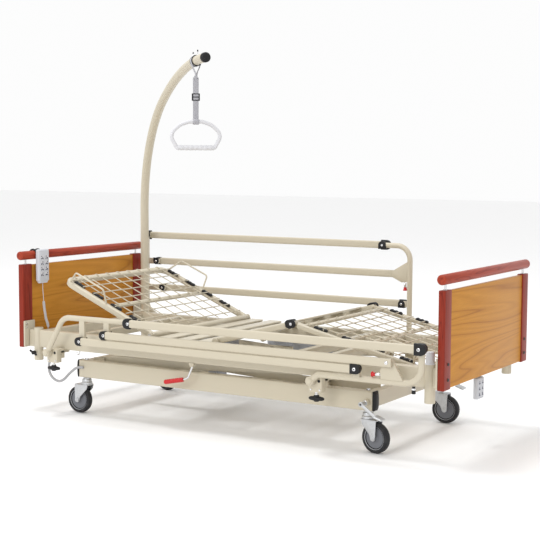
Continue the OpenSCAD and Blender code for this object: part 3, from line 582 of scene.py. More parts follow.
def caster(key):
    x, y, turn = CASTERS[key]
    place = Matrix.Translation((x, y, 0)) @ Matrix.Rotation(math.radians(turn), 4, "Z")

    def at(parts):
        return [turned(p, place) for p in parts]

    def both_faces(profile, n):
        return at([lathe([(r, s * h) for r, h in profile], (40, 0, 62.5), (0, 1, 0), n) for s in (-1, 1)])

    leg = [(-20, 134), (54, 134), (54, 118), (51.5, 62.5)]
    leg += disc_outline(40, 62.5, 12, -5, -175, 10) + [(22, 78), (-16, 116)]
    body = [plate(leg, 20.5, 24.5, 1.2), plate(leg, -24.5, -20.5, 1.2),
            box((-20, -24.5, 130.6), (54, 24.5, 136), 2.4),
            lathe([(0, 136), (24, 136), (25, 137), (25, 146), (22, 149), (22, 158), (20.5, 160.4), (0, 160.4)]),
            lathe([(0, 160.4), (15, 160.4), (16, 161.4), (16, 167), (15, 168), (0, 168)], n=6)]
    for s in (-1, 1):
        body.append(lathe([(0, 0), (9, 0), (10, 1), (10, 3), (5, 4.5), (5, 6), (0, 6)], (40, s * 24.4, 62.5),
                          (0, s, 0), 28))
    piece(f"caster_fork_{key}_zinc", at(body), "caster_" + key, ZINC, ["caster_fork_" + key])
    tyre = lathe([(47, -13.5), (49.5, -15.2), (53, -16), (57.5, -15.4), (60.3, -12.6), (61.7, -8), (62.5, 0),
                  (61.7, 8), (60.3, 12.6), (57.5, 15.4), (53, 16), (49.5, 15.2), (47, 13.5), (46.5, 0), (47, -13.5)],
                 (40, 0, 62.5), (0, 1, 0), 72)
    piece(f"caster_tyre_{key}", at([tyre]), "wheel_" + key, TYRE, ["caster_wheel_" + key])
    hub = [(0, 17), (8.5, 17), (9.5, 16), (10, 13.5), (17, 12), (18, 9.6), (37, 8.6), (41.4, 9.4), (41.6, 0)]
    piece(f"caster_hub_{key}", both_faces(hub, 56), "wheel_" + key, HUB)
    lip = [(45.4, 6), (45.8, 12.4), (46.6, 13.6), (48.6, 13.8), (49.4, 12.6), (49.6, 6)]
    piece(f"caster_rim_{key}", both_faces(lip, 72), "wheel_" + key, RING)
    inner = [(41.4, 0), (41.8, 10.8), (45.6, 12), (45.8, 0)]
    piece(f"caster_band_{key}", both_faces(inner, 72), "wheel_" + key, TYRE)


def brake_levers():
    for key, s in (("nf", -1), ("ff", 1)):
        arm = [lathe([(0, 385.4), (9.4, 385.4), (10, 386), (10, 388), (7.6, 389), (7.6, 414), (10, 415), (10, 425),
                      (9, 426), (6, 426.1), (5.4, 424.6), (0, 424.6)], (702, 0, 205), (0, s, 0), 36),
               sweep([(702, s * 420.5, 205), (730, s * 420.5, 185), (764, s * 420.5, 160.6)], rounded(7, 13, 3),
                     up=(0, s, 0)),
               lathe([(0, 364), (5, 364), (5, 386), (0, 386)], (702, 0, 205), (0, s, 0), 24)]
        slope = Matrix.Translation((776, s * 410, 155)) @ Matrix.Rotation(math.radians(18), 4, "Y")
        arm += [turned(m, slope) for m in [box((-20, -19, -3.6), (20, 19, 4.6), 3.4, 4)]
                + [rod((k, -15, 4.4), (k, 15, 4.4), 1.5, n=10) for k in (-11, -4, 3, 10)]]
        piece(f"brake_lever_steel_{key}", arm, f"brake_lever_{key}", ZINC, [f"brake_lever_{key}"])
        bolt = lathe([(0, 0), (4.6, 0), (4.6, 1.2), (3.6, 1.9), (0, 1.9)], (702, s * 424.2, 205), (0, s, 0), 6)
        piece(f"brake_lever_bolt_{key}", bolt, f"brake_lever_{key}", DARK_BOLT)


# ---- upper frame and bed ends ----

def sleeve(x, y):
    return lathe([(17, 0), (20.2, 0), (21, 0.8), (21, 149.2), (20.2, 150), (17, 150), (17, 0)], (x, y, 238),
                 (0, 0, 1), 40)


def upper_frame():
    parts = []
    for s in (-1, 1):
        def b(x0, x1, y0, y1, z0, z1, bevel=1.5):
            parts.append(box((x0, min(s * y0, s * y1), z0), (x1, max(s * y0, s * y1), z1), bevel))
        b(-1022, 1029, 379, 419, 297.5, 377.5, 6)
        b(-1030, -1022, 379, 449, 298, 418, 2)
        b(1029, 1037, 379, 449, 298, 418, 2)
        for x in SLEEVE_X:
            parts.append(sleeve(x, s * SLEEVE_Y))
        b(-740, 500, 280.5, 290.5, 336, 374)
        b(-712, -672, 281.5, 289.5, 284, 337)
        b(340, 486, 321.5, 326, 282, 338, 0.8)
        b(340, 486, 310.5, 322, 283, 286, 0.8)
        b(340, 486, 310.5, 322, 320, 323.6, 0.8)
        for x, y in ((BACK_X, 396), (THIGH_X, 385)):
            out = [(x - 22, 376.5), (x + 22, 376.5)] + disc_outline(x, PIVOT_Z, 14, 0, 180, 12)
            p = plate(out, y, y + 8, 1)
            parts.append(p if s > 0 else mirror_y(p))
    parts.append(box((-1000, -380, 320), (-970, 380, 370), 4))
    parts.append(box((1000, -380, 300), (1029, 380, 350), 4))
    for x in (-740, -420, 345, 500):
        parts.append(box((x - 15, -380, 336), (x + 15, 380, 374), 4))
    for y in (-419, -404):
        parts.append(plate([(-124, 298.5), (-124, 288), (-118, 281), (-106, 281), (-100, 288), (-100, 298.5)], y,
                           y + 3, 0.8))
    piece("upper_frame_tubes", parts, "upper_frame", PAINT,
          ["upper_frame", "frame_cross_tubes", "frame_members"])
    slats = []
    for x in (-282, -177, -72):
        slats.append(box((x - 33, -392, 381.5), (x + 33, 392, 391.5), 4.5, 4))
        slats += both(lambda x=x: box((x - 25, 382, 377.6), (x + 25, 391, 383), 1))
    piece("seat_slat_set", slats, "upper_frame", PAINT, ["seat_slats"])
    recolour("drive_unit", GREY)
    bolts = []
    for s in (-1, 1):
        for z in (387, 405):
            bolts.append(lathe([(0, 0), (6, 0), (6.5, 1), (6, 3.5), (0, 4.5)], (-1022, s * 437, z), (1, 0, 0), 24))
    piece("flange_bolts", bolts, "upper_frame", CHROME)


def bed_ends():
    posts, boards, rods, fittings, screws = [], [], [], [], []
    for inner, out in ((HEAD_POST, -1), (FOOT_POST, 1)):
        x0, x1 = sorted((inner, inner + out * POST_T))
        xm = (x0 + x1) / 2
        for s in (-1, 1):
            y0, y1 = sorted((s * POST_Y, s * (POST_Y + POST_W)))
            posts.append(box((x0, y0, 295.5), (x1, y1, 678), 4, 4))
            ym = (y0 + y1) / 2
            fittings.append(lathe([(0, 0), (8, 0), (8, 2.5), (5, 3.5), (5, 21), (0, 21)], (xm, ym, 678),
                                  (0, 0, 1), 24))
            for z in (335, 395):
                face = x1 if out > 0 else x0
                screws.append(lathe([(2.6, 1.6), (2.6, 3.4), (5.4, 3.6), (6.4, 2.4), (6.6, 0), (0, 0)],
                                    (face, ym - s * 4, z), (out, 0, 0), 24))
        y = POST_Y
        b0 = inner + out * 5
        boards.append(box((min(b0, b0 + out * 18), -y, 300), (max(b0, b0 + out * 18), y, 674), 1.5))
        rods.append(rod((xm, -455, ROD_Z), (xm, 455, ROD_Z), ROD_R, 5, 48))
    piece("bed_end_post_set", posts, "upper_frame", CHERRY_Z, ["bed_end_posts"])
    piece("bed_end_panels", boards, "upper_frame", HONEY, ["bed_end_boards"])
    # The rods take the cherry copy painted lighter, as painted light on their tops.
    piece("hand_rod_pair", rods, "upper_frame", CHERRY_ROD_PAINTED_LIT, ["hand_rods"])
    piece("rod_standoffs", fittings, "upper_frame", CHROME, ["bed_end_fittings"])
    piece("post_screws", screws, "upper_frame", DARK_BOLT)


def clamps():
    body, bolts, caps = [], [], []
    for s in (-1, 1):
        for x in GUARD_X:
            k = x + 13 if x < 0 else x + 12
            def b(lo, hi, bevel=2):
                lo, hi = list(lo), list(hi)
                lo[1], hi[1] = sorted((s * lo[1], s * hi[1]))
                body.append(box(lo, hi, bevel))
            b((k - 28, 419.2, 262), (k + 30, 446, 305))
            b((k - 28, 385, 285), (k + 30, 446, 297.4))
            b((k - 28, 440, 244), (k + 30, 474, 306), 3)
            body.append(lathe([(0, 0), (11, 0), (12, 1), (12, 2.4), (8, 3.6), (0, 3.6)], (x, s * 502.2, GUARD_Z),
                              (0, s, 0), 28))
            for dx, dz in ((-18, 254), (22, 254)):
                bolts.append(lathe([(0, 0), (3.6, 0), (4, 0.8), (3.4, 2.6), (0, 3)], (k + dx, s * 474, dz),
                                   (0, s, 0), 20))
            caps.append(lathe([(0, 0), (5, 0), (6, 1), (5, 3), (0, 3.6)], (k + 18, s * 474, 290), (0, s, 0), 24))
    piece("guard_brackets", body, "upper_frame", PAINT, ["guard_clamps"])
    piece("guard_bracket_bolts", bolts, "upper_frame", CHROME)
    piece("guard_bracket_plugs", caps, "upper_frame", BLACK)


def trim():
    plug = lathe([(0, 0.2), (21, 0.2), (21, 3.5), (17, 5), (17, 44), (15, 48), (10, 48.9), (0, 48.9)],
                 (SLEEVE_X[1], -SLEEVE_Y, 388), (0, 0, 1), 40)
    piece("corner_plug", plug, "upper_frame", WHITE, ["frame_trim"])
    hook = lambda: pipe([(-740, 399, 297.5), (-740, 399, 284), (-744, 399, 279), (-750, 399, 278), (-755, 399, 283),
                         (-756, 399, 288)], 3, 4)
    piece("rail_hooks", both(hook), "upper_frame", CHROME)
    tee = [lathe([(0, 0), (8, 0), (9, 1), (9, 15), (7, 17), (0, 17.5)], (-975, -434.4, 275), (0, -1, 0), 28),
           turned(box((-23, -450, -5), (23, -442, 5), 3.8),
                  Matrix.Translation((-975, 0, 275)) @ Matrix.Rotation(math.radians(25), 4, "Y"))]
    piece("wing_knob_tee", tee, "wing_knob", BLACK, ["wing_knob"])
    piece("wing_knob_screw", rod((-975, -440, 275), (-975, -424.6, 275), 4), "wing_knob", CHROME)


def seat_and_lever():
    piece("release_lever_rod", [pipe([(-112, -410, 288), (-112, -410, 280), (-133, -412, 232), (-158, -414, 221.5),
                                      (-170, -414.4, 219.2)], 4.5, 12),
                                rod((-112, -415.2, 290), (-112, -404.8, 290), 6)], "release_lever", CHROME,
                                ["release_lever"])
    p, q = Vector((-156, -414, 222)), Vector((-252, -418, 203))
    prof = [(0, 0), (8, 0), (9.4, 1.4)]
    h = (q - p).length
    for k in range(9):
        a = 4 + k * 10.2
        prof += [(8.6, a), (10.4, a + 2.4), (10.4, a + 6.6), (8.6, a + 9)]
    prof += [(9.0, h - 2), (7.4, h), (0, h)]
    piece("release_lever_grip", lathe([(r, t) for r, t in prof if t <= h], p, q - p, 28), "release_lever", RED)


chassis()
for k in CASTERS:
    caster(k)
brake_levers()
recolour("scissor_outer_arms", PAINT)
recolour("scissor_inner_arms", PAINT)
upper_frame()
bed_ends()
clamps()
trim()
seat_and_lever()


# ---- mattress platform ----

WIRE_R = 2.5

BACK = Matrix.Translation((BACK_X, 0, PIVOT_Z)) @ Matrix.Rotation(math.radians(BACK_A), 4, "Y")
THIGH = Matrix.Translation((THIGH_X, 0, PIVOT_Z)) @ Matrix.Rotation(math.radians(-THIGH_A), 4, "Y")
LEG = Matrix.Translation((KNEE[0], 0, KNEE[1])) @ Matrix.Rotation(math.radians(LEG_A), 4, "Y")


def put(m, parts):
    return [turned(p, m) for p in parts]


def arc(cx, cz, r, a0, a1, y=0.0, n=8):
    return [(cx + r * math.cos(math.radians(a0 + (a1 - a0) * k / n)), y,
             cz + r * math.sin(math.radians(a0 + (a1 - a0) * k / n))) for k in range(n + 1)]


def loop(x0, x1, y, z0, z1, lean=9):
    """Mattress retaining loop with leaning legs."""
    return pipe([(x0 - 2, y, z0), (x0 + lean, y, z1), (x1 - lean, y, z1), (x1 + 2, y, z0)], 4, 13, 12)


def clip(x, s, z, y):
    """Black wire clip on the inner edge of a side tube: a long saddle with three ribs."""
    lo, hi = sorted((s * (y - 13), s * (y + 4)))
    out = [box((x - 30, lo, z - 4), (x + 30, hi, z + 6.4), 2.4, 3)]
    for k in (-21, 0, 21):
        out.append(box((x + k - 5, lo + 1, z + 4), (x + k + 5, hi - 1, z + 8.6), 2, 2))
    return out


def backrest():
    frame_parts = [sweep(fillet([(10, 379.5, 0), (-532, 379.5, 0), (-532, -379.5, 0), (10, -379.5, 0)], 47, 10),
                         rounded(26, 25, 6), up=(0, 0, 1)),
                   rod((0, -391, 0), (0, 391, 0), 14, 1, 32), rod((-270, -372, 0), (-270, 372, 0), 10, 1, 28)]
    lever = disc_outline(22, -40, 13, -150, 30, 8) + disc_outline(0, 0, 13, 30, 210, 8)
    frame_parts += [plate(lever, -120, -104, 1)]
    piece("backrest_tubes", put(BACK, frame_parts), "backrest", PAINT, ["backrest_frame"])
    pins = both(lambda: lathe([(0, 390), (8, 390), (8, 404), (7, 405), (0, 405)], (0, 0, 0), (0, 1, 0), 24))
    piece("backrest_pins", put(BACK, pins), "backrest", CHROME)
    wires, clips = [], []
    for i in range(9):
        y = -320 + 80 * i
        head = arc(-532, 0, 15.8, 192, 90, y)
        mid_a = arc(-270, 0, 12.9, 90, 22, y, 5)
        wires.append(sweep(head + [(-270, y, 15.4)], circle(WIRE_R, 8), up=(0, 1, 0)))
        wires.append(sweep([(-270, y, 15.4), (-20, y, 15.6)], circle(WIRE_R, 8), up=(0, 1, 0)))
        wires.append(sweep([(-268, y + 5.2, 15.4)] + [(a + 6, b + 5.2, c) for a, b, c in mid_a], circle(WIRE_R, 8),
                           up=(0, 1, 0)))
    for k in range(8):
        x = -500 + 66 * k
        wires.append(rod((x, -375, 20.2), (x, 375, 20.2), WIRE_R, 0.8, 8))
    for s in (-1, 1):
        wires.append(pipe([(-506, s * 379, 12), (-470, s * 411, 76), (-300, s * 411, 76), (-281, s * 381, 12)], 4,
                          [16, 16], 12))
        for k in range(4):
            clips += clip(-464 + 113 * k, s, 13, 367)
    piece("backrest_wires", put(BACK, wires), "backrest", PAINT, ["backrest_mesh"])
    piece("backrest_clips", put(BACK, clips), "backrest", BLACK)


def thigh_and_leg():
    parts = []
    for s in (-1, 1):
        parts += [sweep([(2, s * 367, 0), (381, s * 367, 0)], rounded(24, 20, 4), up=(0, 0, 1)),
                  lathe([(0, 356.6), (13, 356.6), (14, 357.6), (14, 376.4), (13, 377.4), (0, 377.4)], (0, 0, 0),
                        (0, s, 0), 32),
                  lathe([(0, 356.8), (11, 356.8), (12, 357.8), (12, 376), (11, 377), (0, 377)], (383, 0, 0),
                        (0, s, 0), 32),
                  lathe([(0, 376), (8, 376), (8, 393), (7, 394), (0, 394)], (0, 0, 0), (0, s, 0), 24),
                  lathe([(0, 340), (6.5, 340), (7, 341), (7, 358), (0, 358)], (383, 0, 0), (0, s, 0), 24)]
    parts.append(rod((0, -366, 0), (0, 366, 0), 14, 1, 32))
    for x in (90, 190, 290):
        parts.append(box((x - 33, -367, 6), (x + 33, 367, 14), 3.6, 4))
    parts.append(plate(disc_outline(-8, -34, 13, 180, 360, 8) + disc_outline(0, 0, 13, 0, 180, 8), -8, 8, 1))
    piece("thigh_tubes", put(THIGH, parts), "thigh", PAINT, ["thigh_frame"])
    side = [(-30, -6), (-30, 13), (-27, 17), (-18, 21.6), (-14, 22), (4, 20.6), (8, 19.4), (15, 11), (17, 2),
            (16.4, -9), (9, -15.4),
            (-14, -16)]
    top = [(-30, 12.1), (-30, 13), (-27, 17), (-18, 21.6), (-14, 22), (4, 20.6), (8, 19.4), (14, 12.1)]
    cap = []
    for s in (-1, 1):
        for outline, y0, y1 in ((side, 377.02, 385.4), (top, 358.2, 378)):
            p = plate([(383 + x, z) for x, z in outline], y0, y1, 1.6)
            cap.append(p if s > 0 else mirror_y(p))
    piece("knee_cap_pair", put(THIGH, cap), "thigh", BLACK, ["knee_caps"])
    dot = [lathe([(0, 385), (6, 385), (6, 386.4), (4.6, 387.6), (0, 387.8)], (380, 0, 2),
                 (0, s, 0), 24) for s in (-1, 1)]
    piece("knee_cap_screws", put(THIGH, dot), "thigh", WHITE)

    tubes = [sweep(fillet([(22, 367, 0), (590, 367, 0), (590, -367, 0), (22, -367, 0)], 41, 10), rounded(22, 20, 5),
                   up=(0, 0, 1)),
             rod((300, -366, 0), (300, 366, 0), 9, 1, 28), rod((40, -366, 0), (40, 366, 0), 9, 1, 28)]
    for s in (-1, 1):
        link = disc_outline(0, 0, 11, 90, 270, 10) + disc_outline(40, 0, 11, -90, 90, 10)
        p = plate(link, 348, 356.4, 1)
        tubes.append(p if s > 0 else mirror_y(p))
        tubes.append(box((20, min(s * 350, s * 359), -11), (40, max(s * 350, s * 359), 11), 2))
    piece("leg_tubes", put(LEG, tubes), "leg", PAINT, ["leg_frame"])
    wires, clips = [], []
    for i in range(9):
        y = -320 + 80 * i
        wires.append(sweep([(42, y, 12.7), (588, y, 12.7)], circle(WIRE_R, 8), up=(0, 1, 0)))
        wires.append(sweep([(290, y + 5.2, 12.7), (306, y + 5.2, 12.7)] + arc(300, 0, 12.2, 60, 20, y + 5.2, 4),
                           circle(WIRE_R, 8), up=(0, 1, 0)))
    for k in range(8):
        wires.append(rod((70 + 66 * k, -362, 16.6), (70 + 66 * k, 362, 16.6), WIRE_R, 0.8, 8))
    for s in (-1, 1):
        wires.append(loop(430, 550, s * 364, 11.6, 72, 7))
        for k in range(4):
            clips += clip(120 + 132 * k, s, 12, 357)
    piece("leg_wires", put(LEG, wires), "leg", PAINT, ["leg_mesh"])
    piece("leg_clips", put(LEG, clips), "leg", BLACK)


# ---- side guards ----

def screw(x, y, z, side, r=7.5, h=3.0):
    """Domed screw head with a socket, facing out of the side."""
    return lathe([(0, 0.9), (2.6, 0.9), (2.9, h), (4.4, h), (r - 0.6, 1.6), (r, 0), (0, 0)], (x, y, z),
                 (0, side, 0), 24)


def guard(side, s, up):
    lift = Matrix.Rotation(math.radians(-90 if up else 0), 4, "Y")
    flip = Matrix.Identity(4) if s > 0 else Matrix.Diagonal((1, -1, 1, 1))

    def place(end, parts):
        m = flip @ Matrix.Translation((GUARD_X[end], 0, GUARD_Z)) @ lift
        return [turned(p, m) for p in parts]

    (tx, tz), (mx, mz), (lx, lz) = PIVOTS
    hub = lambda: lathe([(8, 476), (16.6, 476), (18, 477.4), (18, 500.6), (16.6, 502), (8, 502), (8, 476)],
                        (0, 0, 0), (0, 1, 0), 36)

    def lug(x, z, top, half=15, y0=485, y1=500):
        return plate(disc_outline(x, z, half, 180, 360, 12) + [(x + half, top), (x - half, top)], y0, y1, 1.6)

    head = [hub(), pipe([(0, ARM_Y, 0), (96, ARM_Y, tz), (tx + 7, ARM_Y, tz)], 12.5, 62, 20, steps=12),
            lug(mx, mz, tz), lug(lx, lz, tz),
            lathe([(0, 485), (15, 485), (16, 486), (16, 499), (15, 500), (0, 500)], (tx, 0, tz), (0, 1, 0), 32)]
    piece(f"guard_head_arm_tube_{side}", place(0, head), f"guard_head_{side}", PAINT, [f"guard_head_arm_{side}"])
    foot = [hub(), pipe([(0, ARM_Y, 0), (34, ARM_Y, 29), (tx, ARM_Y, 29), (tx, ARM_Y, tz)], 12.5, [22, 65],
                        20, steps=12),
            lathe([(0, 489), (15, 489), (16, 490), (16, 499), (15, 500), (0, 500)], (tx, 0, tz), (0, 1, 0), 32),
            plate([(309.5, 70), (313.5, 37), (408.5, 37), (364.5, 111), (359, 117), (353, 120), (338, 120),
                   (331, 116)], 486, 500, 2),
            plate(disc_outline(lx, lz, 14, 0, 180, 12) + [(lx - 14, 29), (lx + 14, 29)], 489, 500, 1.6)]
    piece(f"guard_foot_arm_tube_{side}", place(1, foot), f"guard_foot_{side}", PAINT, [f"guard_foot_arm_{side}"])
    for end, name in ((0, "head"), (1, "foot")):
        pins = [screw(x, 520.2, z, 1) for x, z in PIVOTS]
        pins += [lathe([(0, 500), (5.6, 500), (5.6, 520.6), (0, 520.6)], (x, 0, z), (0, 1, 0), 20) for x, z in PIVOTS]
        covers = [(PIVOTS[0], 474.5, 20, 488)]
        covers += [(PIVOTS[2], 483, 17, 489.4)] if end else [(p, 480, 17, 485.4) for p in PIVOTS[1:]]
        shells = []
        for (x, z), y0, r, y1 in covers:
            shells.append(plate(half_round(x, z, r, not end, x - 18 if end else x + 18), y0, y1, 2.4))
            pins.append(screw(x, y0 + 0.4, z, -1, 6, 2.4))
        piece(f"guard_{name}_covers_{side}", place(end, shells), f"guard_{name}_{side}", BLACK)
        if end and not up:
            pins.append(lathe([(8.6, -2), (9.4, -1), (9.4, 4), (8.6, 5), (6, 5), (6, -2), (8.6, -2)],
                              (448, ARM_Y, 9), (0, 0, 1), 28))
        piece(f"guard_{name}_pins_{side}", place(end, pins), f"guard_{name}_{side}", CHROME)
    if not up:
        plug = lathe([(0, -8), (6.6, -8), (8, -6.6), (8, 8), (6, 9), (6, 20), (0, 20)],
                     (448, ARM_Y, 0), (0, 0, 1), 28)
        piece(f"guard_stop_{side}", place(1, [plug]), f"guard_foot_{side}", BLACK)

    for i, (name, caps) in enumerate((("top", (46, 46)), ("middle", (38, 0)), ("low", (38, 38)))):
        px, pz = PIVOTS[i]
        if up:
            px, pz = -pz, px
        x0, x1, z = GUARD_X[0] + px, GUARD_X[1] + px, GUARD_Z + pz
        bar = sweep([(x0 - 9, 512, z), (x1 + (6 if caps[1] else 19), 512, z)], rounded(34, 16, 6.5, 6), up=(0, 0, 1))
        piece(f"guard_{name}_bar_{side}", [turned(bar, flip)], f"guard_{name}_{side}", PAINT,
              [f"guard_{name}_rail_{side}"])
        ends = []
        for x, h, d, back in ((x0, caps[0], -1, 9), (x1, caps[1], 1, 20)):
            if not h:
                continue
            ends.append(plate(half_round(x + d * 6, z, h / 2, d < 0, x - d * back), 503.6, 521.6, 3))
        piece(f"guard_{name}_caps_{side}", put(flip, ends), f"guard_{name}_{side}", BLACK)

    pin = [lathe([(0, 0), (6.2, 0), (6.5, 0.6), (6.5, 19), (5.4, 20.6), (4, 21), (4, 52), (0, 52)], (288, 492, 53),
                 (1, 0, 0), 28)]
    piece(f"guard_plunger_pin_{side}", place(1, pin), f"plunger_{side}", CHROME, [f"guard_plunger_{side}"])
    flare = [(0, 0), (9.6, 0), (10.8, 1), (11, 2.6), (10.2, 4.2), (8.4, 6), (7.4, 9), (7.2, 13), (7.6, 15.6), (0, 16)]
    piece(f"guard_plunger_knob_{side}", place(1, [lathe(flare, (272.2, 492, 53), (1, 0, 0), 32)]),
          f"plunger_{side}", RED)

    for end, name in ((0, "head"), (1, "foot")):
        x = GUARD_X[end] + (13 if end == 0 else 12)
        prof = [(0, 209), (9, 209), (13.6, 210.4), (16, 213.4), (16.5, 217), (16, 220.6), (13.6, 223.6), (9, 225.4),
                (0, 225.8)]
        oval = turned(lathe(prof, n=48), Matrix.Diagonal((2.15, 0.92, 1, 1)))
        base = lathe([(0, 205), (9, 205), (11, 207), (12, 210), (12, 226), (10.6, 231), (9, 232), (0, 232)], n=36)
        m = flip @ Matrix.Translation((x, 460, 0))
        piece(f"clamp_knob_body_{name}_{side}", put(m, [oval, base]), f"knob_{name}_{side}", BLACK,
              [f"clamp_knob_{name}_{side}"])
        neck = lathe([(0, 231), (8, 231), (8.6, 232), (8.6, 236), (6, 237.4), (6, 261), (0, 261)], n=28)
        piece(f"clamp_knob_screw_{name}_{side}", put(m, [neck]), f"knob_{name}_{side}", CHROME)


# ---- lifting pole ----

POLE = Matrix.Translation((SLEEVE_X[0], SLEEVE_Y, 0)) @ Matrix.Rotation(math.radians(-36), 4, "Z")
POLE_S = 620 * (1 - math.cos(math.radians(59))) + 1200 * math.cos(math.radians(59))
POLE_CZ = 910 + 620 * math.sin(math.radians(59)) - 1200 * math.sin(math.radians(59))
STRAP_A = 96.2
STRAP = (POLE_S + 1200 * math.cos(math.radians(STRAP_A)), POLE_CZ + 1200 * math.sin(math.radians(STRAP_A)))


def pole():
    pts = [(0, 0, 388.4), (0, 0, 910)]
    pts += arc(620, 910, 620, 180, 121, n=20)[1:]
    pts += arc(POLE_S, POLE_CZ, 1200, 121, 90, n=14)[1:]
    parts = [sweep(pts, circle(21, 28), up=(0, 1, 0)), rod((0, 0, 240), (0, 0, 395), 16.9, 1.5, 32)]
    piece("pole_tube", put(POLE, parts), "lifting_pole", PAINT, ["lifting_pole"])
    r = 22.5
    dome = [(r * math.cos(t), 4 + 8 * math.sin(t)) for t in (0.4, 0.8, 1.2)]
    end = lathe([(0, -12), (r - 1, -12), (r, -11), (r, 4)] + dome + [(0, 12)],
                (POLE_S, 0, POLE_CZ + 1200), (1, 0, 0), 36)
    stops, shanks = [], []
    for a in (STRAP_A - 1.4, STRAP_A + 1.4):
        t = math.radians(a)
        c = Vector((POLE_S + 1200 * math.cos(t), 0, POLE_CZ + 1200 * math.sin(t)))
        d = Vector((math.cos(t), 0, math.sin(t)))
        stops.append(lathe([(0, 37), (2.4, 37), (3, 38), (3, 44), (2.2, 45), (0, 45)], c, d, 20))
        shanks.append(lathe([(3, 20.6), (3, 22.4), (1.7, 23), (1.7, 38), (0, 38)], c, d, 20))
    piece("pole_cap_and_stops", put(POLE, [end] + stops), "lifting_pole", BLACK)
    piece("pole_stop_shanks", put(POLE, shanks), "lifting_pole", CHROME)


def strap_and_handle():
    hang = POLE @ Matrix.Translation((STRAP[0], 0, STRAP[1]))
    tilt = Matrix.Rotation(math.radians(90 - STRAP_A), 4, "Y")
    spin = Matrix.Rotation(math.radians(81), 4, "Z")
    band = [(22.3, -9), (24.4, -9), (24.8, -8.4), (24.8, 8.4), (24.4, 9), (22.3, 9), (22.3, -9)]
    small = [(10.2, -13), (13.4, -13), (13.8, -12.4), (13.8, 12.4), (13.4, 13), (10.2, 13), (10.2, -13)]
    ring = [lathe([(22.1, x - 2), (24.6, x - 2), (25.4, x - 1), (25.4, x + 1), (24.6, x + 2), (22.1, x + 2),
                   (22.1, x - 2)],
                  axis=(1, 0, 0), n=48) for x in (-10.8, 10.8)]
    piece("strap_rings", put(hang, [turned(r, tilt) for r in ring]), "grab_strap", BLACK)
    strap = [turned(lathe(band, axis=(1, 0, 0), n=48), tilt)]
    for e in (-1, 1):
        strap.append(turned(sweep([(0, e * 23.6, -2), (0, e * 22, -14), (0, e * 14, -34), (0, e * 5, -52),
                                   (0, e * 1.6, -66), (0, e * 1.2, -78)],
                                  rounded(17, 1.5, 0.6, 2), up=(1, 0, 0)), tilt))
    strap += [turned(box((-8, -4, -84), (8, 4, -66), 3.4, 4), spin),
              turned(sweep([(0, 0.8, -74), (0, 0.8, -92), (0, 0.8, -262)], rounded(26, 1.4, 0.6, 2),
                           up=(1, 0, 0)), spin),
              turned(sweep([(0, -3.2, -78), (0, -4.4, -100), (0, -3.4, -150), (0, -3.0, -190), (0, -2.2, -262)],
                           rounded(25, 1.3, 0.6, 2), up=(1, 0, 0)), spin),
              turned(lathe(small, (0, 0, -272), (1, 0, 0), 40), spin)]
    piece("strap_webbing", put(hang, strap), "grab_strap", WEB, ["grab_strap"])
    bars = []
    for z in (-147.6, -162, -176.4):
        bars.append(turned(box((-18, -5.6, z - 2), (18, 5.6, z + 2), 1.4, 3), spin))
    for x in (-16, 16):
        bars.append(turned(box((x - 2, -5, -178), (x + 2, 5, -146), 1.4, 3), spin))
    bars.append(turned(box((-15, -2.6, -177), (15, -1.6, -147), 0.3, 1), spin))
    piece("strap_buckle", put(hang, bars), "grab_strap", BLACK)

    grip = hang @ Matrix.Translation((0, 0, -272)) @ spin
    half = [(30, 0), (72, -14), (106, -44), (113, -72), (86, -120)]
    outline = [(0, 0, 0)] + [(x, 0, z) for x, z in half] + [(-x, 0, z) for x, z in reversed(half)] + [(0, 0, 0)]
    tri = fillet(outline, [60, 60, 40, 40, 12, 12, 40, 40, 60, 60], 8)
    ring = sweep([tuple(p) for p in tri[:-1]], circle(9, 20), closed=True, up=(0, 1, 0))
    wave = [(0, -84), (9.4, -84), (10.6, -82)]
    for k in range(0, 85):
        x = -77 + 154 * k / 84
        wave.append((10.4 + 1.9 * abs(math.cos(math.pi * x / 22)) ** 0.8, x))
    wave += [(10.6, 82), (9.4, 84), (0, 84)]
    piece("grip_handle", put(grip, [ring, lathe(wave, (0, 0, -117.6), (1, 0, 0), 28)]), "grab_handle", WHITE,
          ["grab_handle"])


# ---- controls ----

